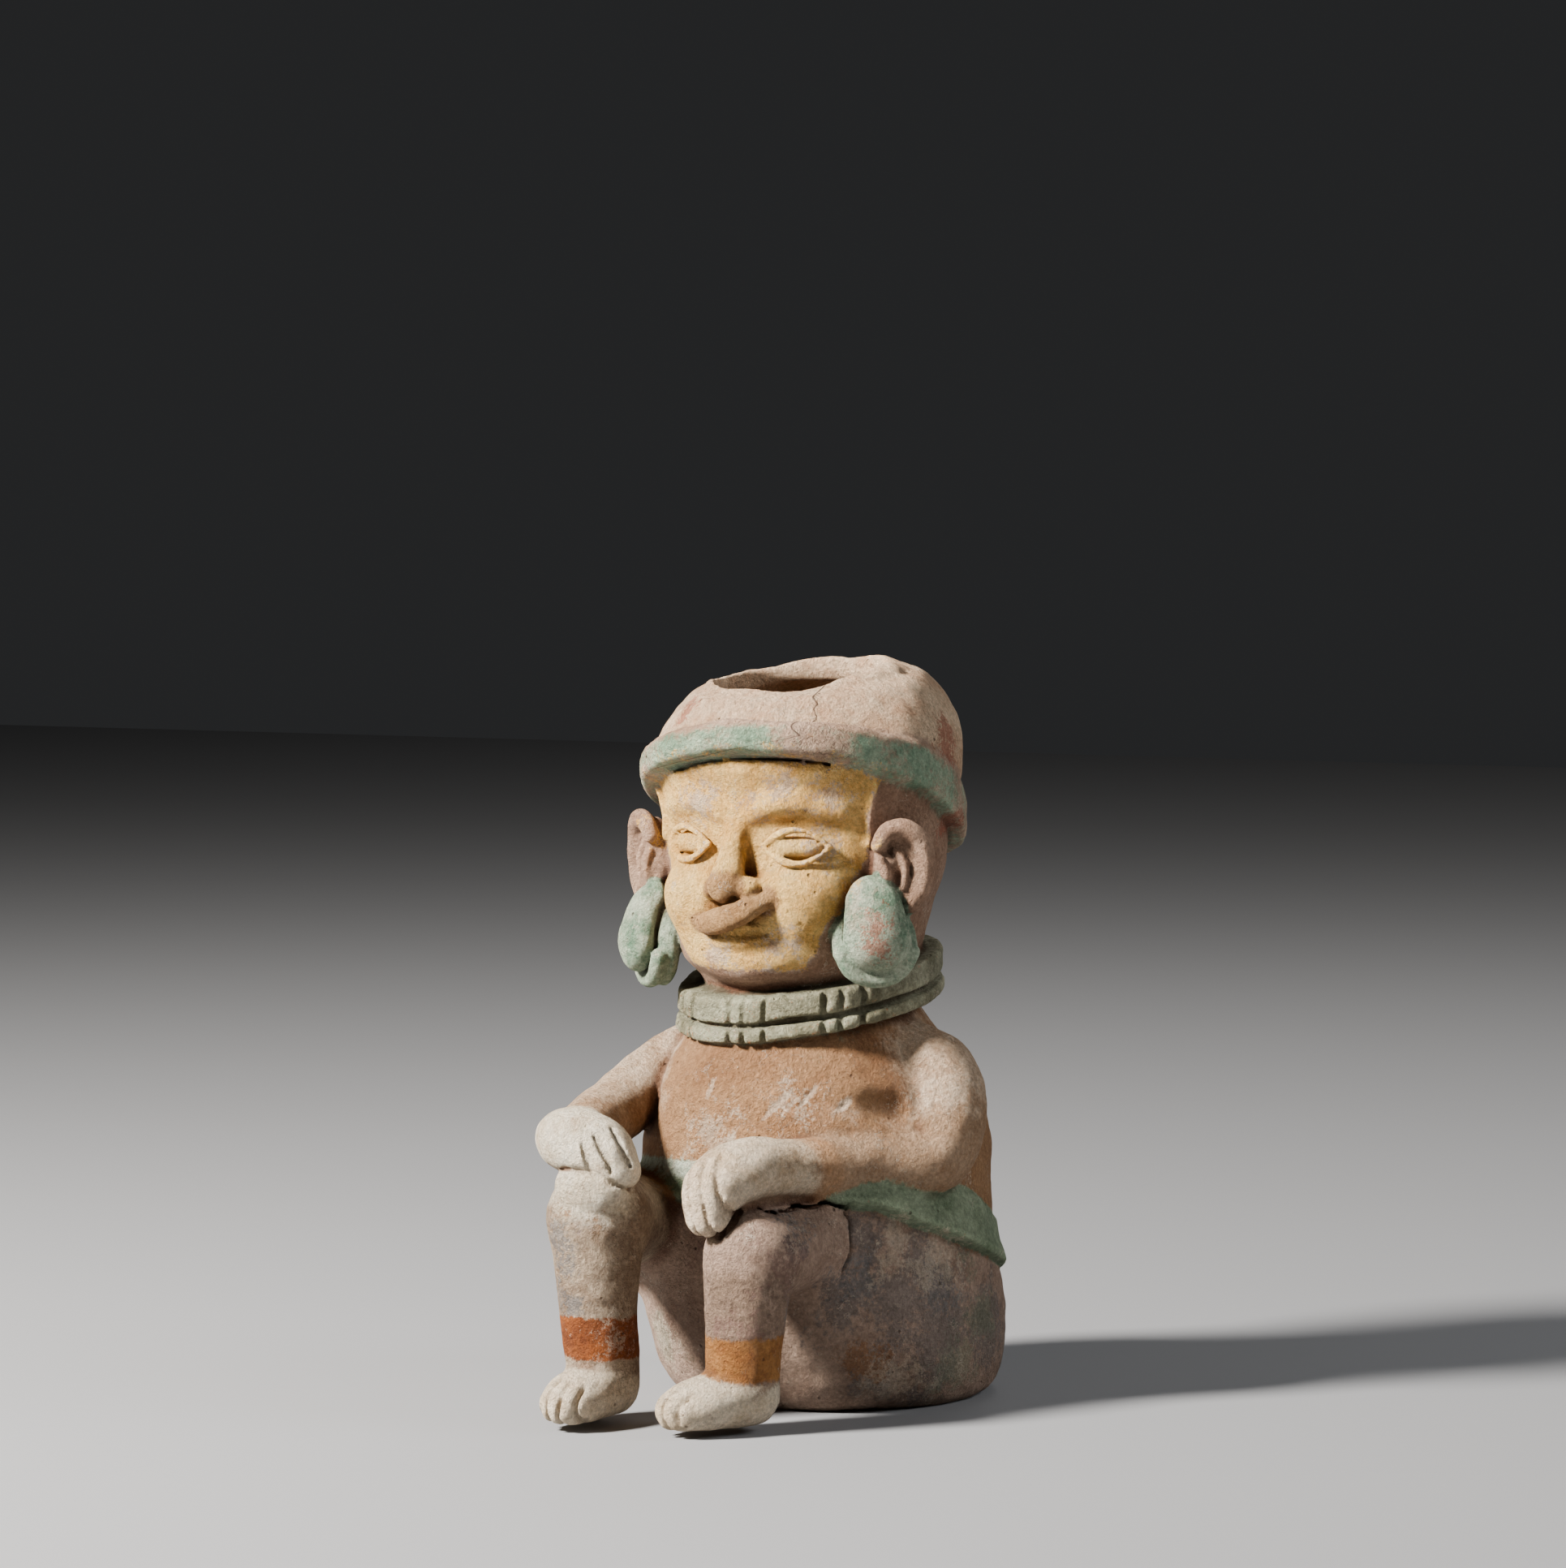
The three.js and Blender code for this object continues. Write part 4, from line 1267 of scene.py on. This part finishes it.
def makeClay(c=clayForm):
    clay = bpy.data.materials.new("firedClay")
    clay.use_nodes = True
    tree = clay.node_tree
    shader = tree.nodes["Principled BSDF"]
    raised, hollowed = attribute(tree, "raised"), attribute(tree, "hollowed")
    tone = placeGroup(tree, mottle, Size=c["mottleSize"], Contrast=1.0)["Tone"]
    colour = blend(tree, tone, linear(c["dark"]), linear(c["light"]))
    covers = {}
    for name, coat in coats.items():
        values = {"Inside": attribute(tree, coat.get("mark", name)), "Ragged": coat["ragged"]}
        values.update(Softness=coat["soft"], Size=coat["size"], Wear=coat["wear"], Raised=raised)
        cover = placeGroup(tree, wornPaint, **values)["Cover"]
        tone = placeGroup(tree, mottle, Size=coat["mottle"], Contrast=1.3)["Tone"]
        paint = blend(tree, tone, linear(coat["dark"]), linear(coat["light"]))
        covers[name] = times(tree, cover, coat["strength"])
        colour = blend(tree, covers[name], colour, paint)
    grain = placeGroup(tree, clayGrain, Size=c["grainSize"], Pores=c["pores"])
    marks = placeGroup(tree, scuffs, Size=c["scuffSize"], Amount=c["scuffAmount"])["Lines"]
    hairline = sums(tree, "ABSOLUTE", attribute(tree, "hairline"))
    hairline = ranged(tree, plus(tree, hairline, times(tree, grain["Tone"], 0.5)), 0.62, 0.42)
    net = placeGroup(tree, crackle, Size=c["crackleSize"])["Lines"]
    net = times(tree, net, ranged(tree, attribute(tree, "crackle"), -1.0, 3.0))
    # recesses darkened, partly by dirt and partly as painted shade
    dirtAndShade = ranged(tree, hollowed, 0.12, 1.0, 0.0, 0.8)
    colour = blend(tree, dirtAndShade, colour, blend(tree, 1.0, colour, linear(c["dirtAndShade"]), "MULTIPLY"))
    colour = blend(tree, times(tree, marks, c["scuffStrength"]), colour, linear(c["scuff"]))
    cracks = sums(tree, "MAXIMUM", hairline, times(tree, net, 0.45))
    dark = sums(tree, "MAXIMUM", times(tree, grain["Pores"], 0.6), times(tree, cracks, 0.75))
    colour = blend(tree, dark, colour, linear(c["crack"]))
    shade = ranged(tree, grain["Tone"], 0.36, 0.66, 0.74, 1.2)
    shade = times(tree, shade, ranged(tree, raised, 0.05, 0.5, 1.0, c["edgeLight"]))
    shade = sums(tree, "MULTIPLY_ADD", grain["Grit"], 0.3, shade)
    tree.links.new(scaled(tree, colour, shade), shader.inputs["Base Color"])
    shader.inputs["Roughness"].default_value = c["roughness"]
    shader.inputs["Specular IOR Level"].default_value = c["shine"]
    bump = newNode(tree, "Bump")
    bump.inputs["Strength"].default_value = c["bump"]
    bump.inputs["Distance"].default_value = c["bumpDistance"]
    thickPaint = plus(tree, covers["brimPaint"], covers["ornamentPaint"])
    thickPaint = plus(tree, covers["facePaint"], thickPaint)
    height = sums(tree, "MULTIPLY_ADD", thickPaint, c["paintHeight"], grain["Height"])
    height = less(tree, height, times(tree, cracks, 0.5))
    tree.links.new(sums(tree, "MULTIPLY_ADD", marks, 0.15, height), bump.inputs["Height"])
    tree.links.new(bump.outputs[0], shader.inputs["Normal"])
    return clay


vessel.data.materials.clear()
vessel.data.materials.append(makeClay())
print("clay and paints made")


# camera, floor and lights

studio = {
    "cameraTurn": 32.0,  # degrees round from the front, towards the figure's left
    "cameraAway": 1.65,
    "cameraHeight": 0.276,
    "lens": 119.25,
    "aimLeft": 0.555,  # degrees, so that the base stands right of the middle as in the photograph
    "aimDown": 2.883,
    "key": {"turn": -34, "rise": 36, "away": 1.5, "size": 0.3, "power": 124, "colour": (1.0, 0.965, 0.92)},
    "fill": {"turn": 112, "rise": 32, "away": 1.7, "size": 0.8, "power": 14, "colour": (0.95, 0.97, 1.0)},
    "back": {"turn": 190, "rise": 50, "away": 1.8, "size": 0.8, "power": 4, "colour": (1.0, 1.0, 1.0)},
    "surround": 0.03,
    "surroundColour": (0.75, 0.77, 0.8, 1),
    "floorHalf": 4.0,
    "floorColour": (0.24, 0.24, 0.245, 1),
    "floorRoughness": 0.85,
}


def addCamera(s=studio):
    turn = math.radians(s["cameraTurn"])
    away = Vector((math.sin(turn), -math.cos(turn), 0))
    right = Vector((math.cos(turn), math.sin(turn), 0))
    yaw, pitch = math.radians(s["aimLeft"]), math.radians(s["aimDown"])
    level = -away * math.cos(yaw) - right * math.sin(yaw)
    aim = level * math.cos(pitch) - Vector((0, 0, math.sin(pitch)))
    data = bpy.data.cameras.new("camera")
    data.lens = s["lens"]
    camera = addObject("camera", data)
    camera.location = away * s["cameraAway"] + Vector((0, 0, s["cameraHeight"]))
    camera.rotation_euler = aim.to_track_quat("-Z", "Y").to_euler()
    bpy.context.scene.camera = camera


def addLight(name, lamp):
    turn, rise = math.radians(lamp["turn"]), math.radians(lamp["rise"])
    middle = Vector((0, -0.02, 0.12))
    towards = Vector((math.sin(turn) * math.cos(rise), -math.cos(turn) * math.cos(rise), math.sin(rise)))
    data = bpy.data.lights.new(name, "AREA")
    data.shape = "DISK"
    data.size, data.energy, data.color = lamp["size"], lamp["power"], lamp["colour"]
    light = addObject(name, data)
    light.location = middle + towards * lamp["away"]
    light.rotation_euler = (-towards).to_track_quat("-Z", "Y").to_euler()


def addFloor(s=studio):
    mesh = bpy.data.meshes.new("floor")
    half = s["floorHalf"]
    corners = [(-half, -half, 0), (half, -half, 0), (half, half, 0), (-half, half, 0)]
    mesh.from_pydata(corners, [], [(0, 1, 2, 3)])
    floor = addObject("floor", mesh)
    material = bpy.data.materials.new("paleFloor")
    material.use_nodes = True
    shader = material.node_tree.nodes["Principled BSDF"]
    shader.inputs["Base Color"].default_value = s["floorColour"]
    shader.inputs["Roughness"].default_value = s["floorRoughness"]
    mesh.materials.append(material)


addCamera()
addFloor()
for name in ("key", "fill", "back"):
    addLight(name, studio[name])
world = bpy.data.worlds.new("studio")
world.use_nodes = True
surround = world.node_tree.nodes["Background"]
surround.inputs["Color"].default_value = studio["surroundColour"]
surround.inputs["Strength"].default_value = studio["surround"]
bpy.context.scene.world = world
print("studio set")
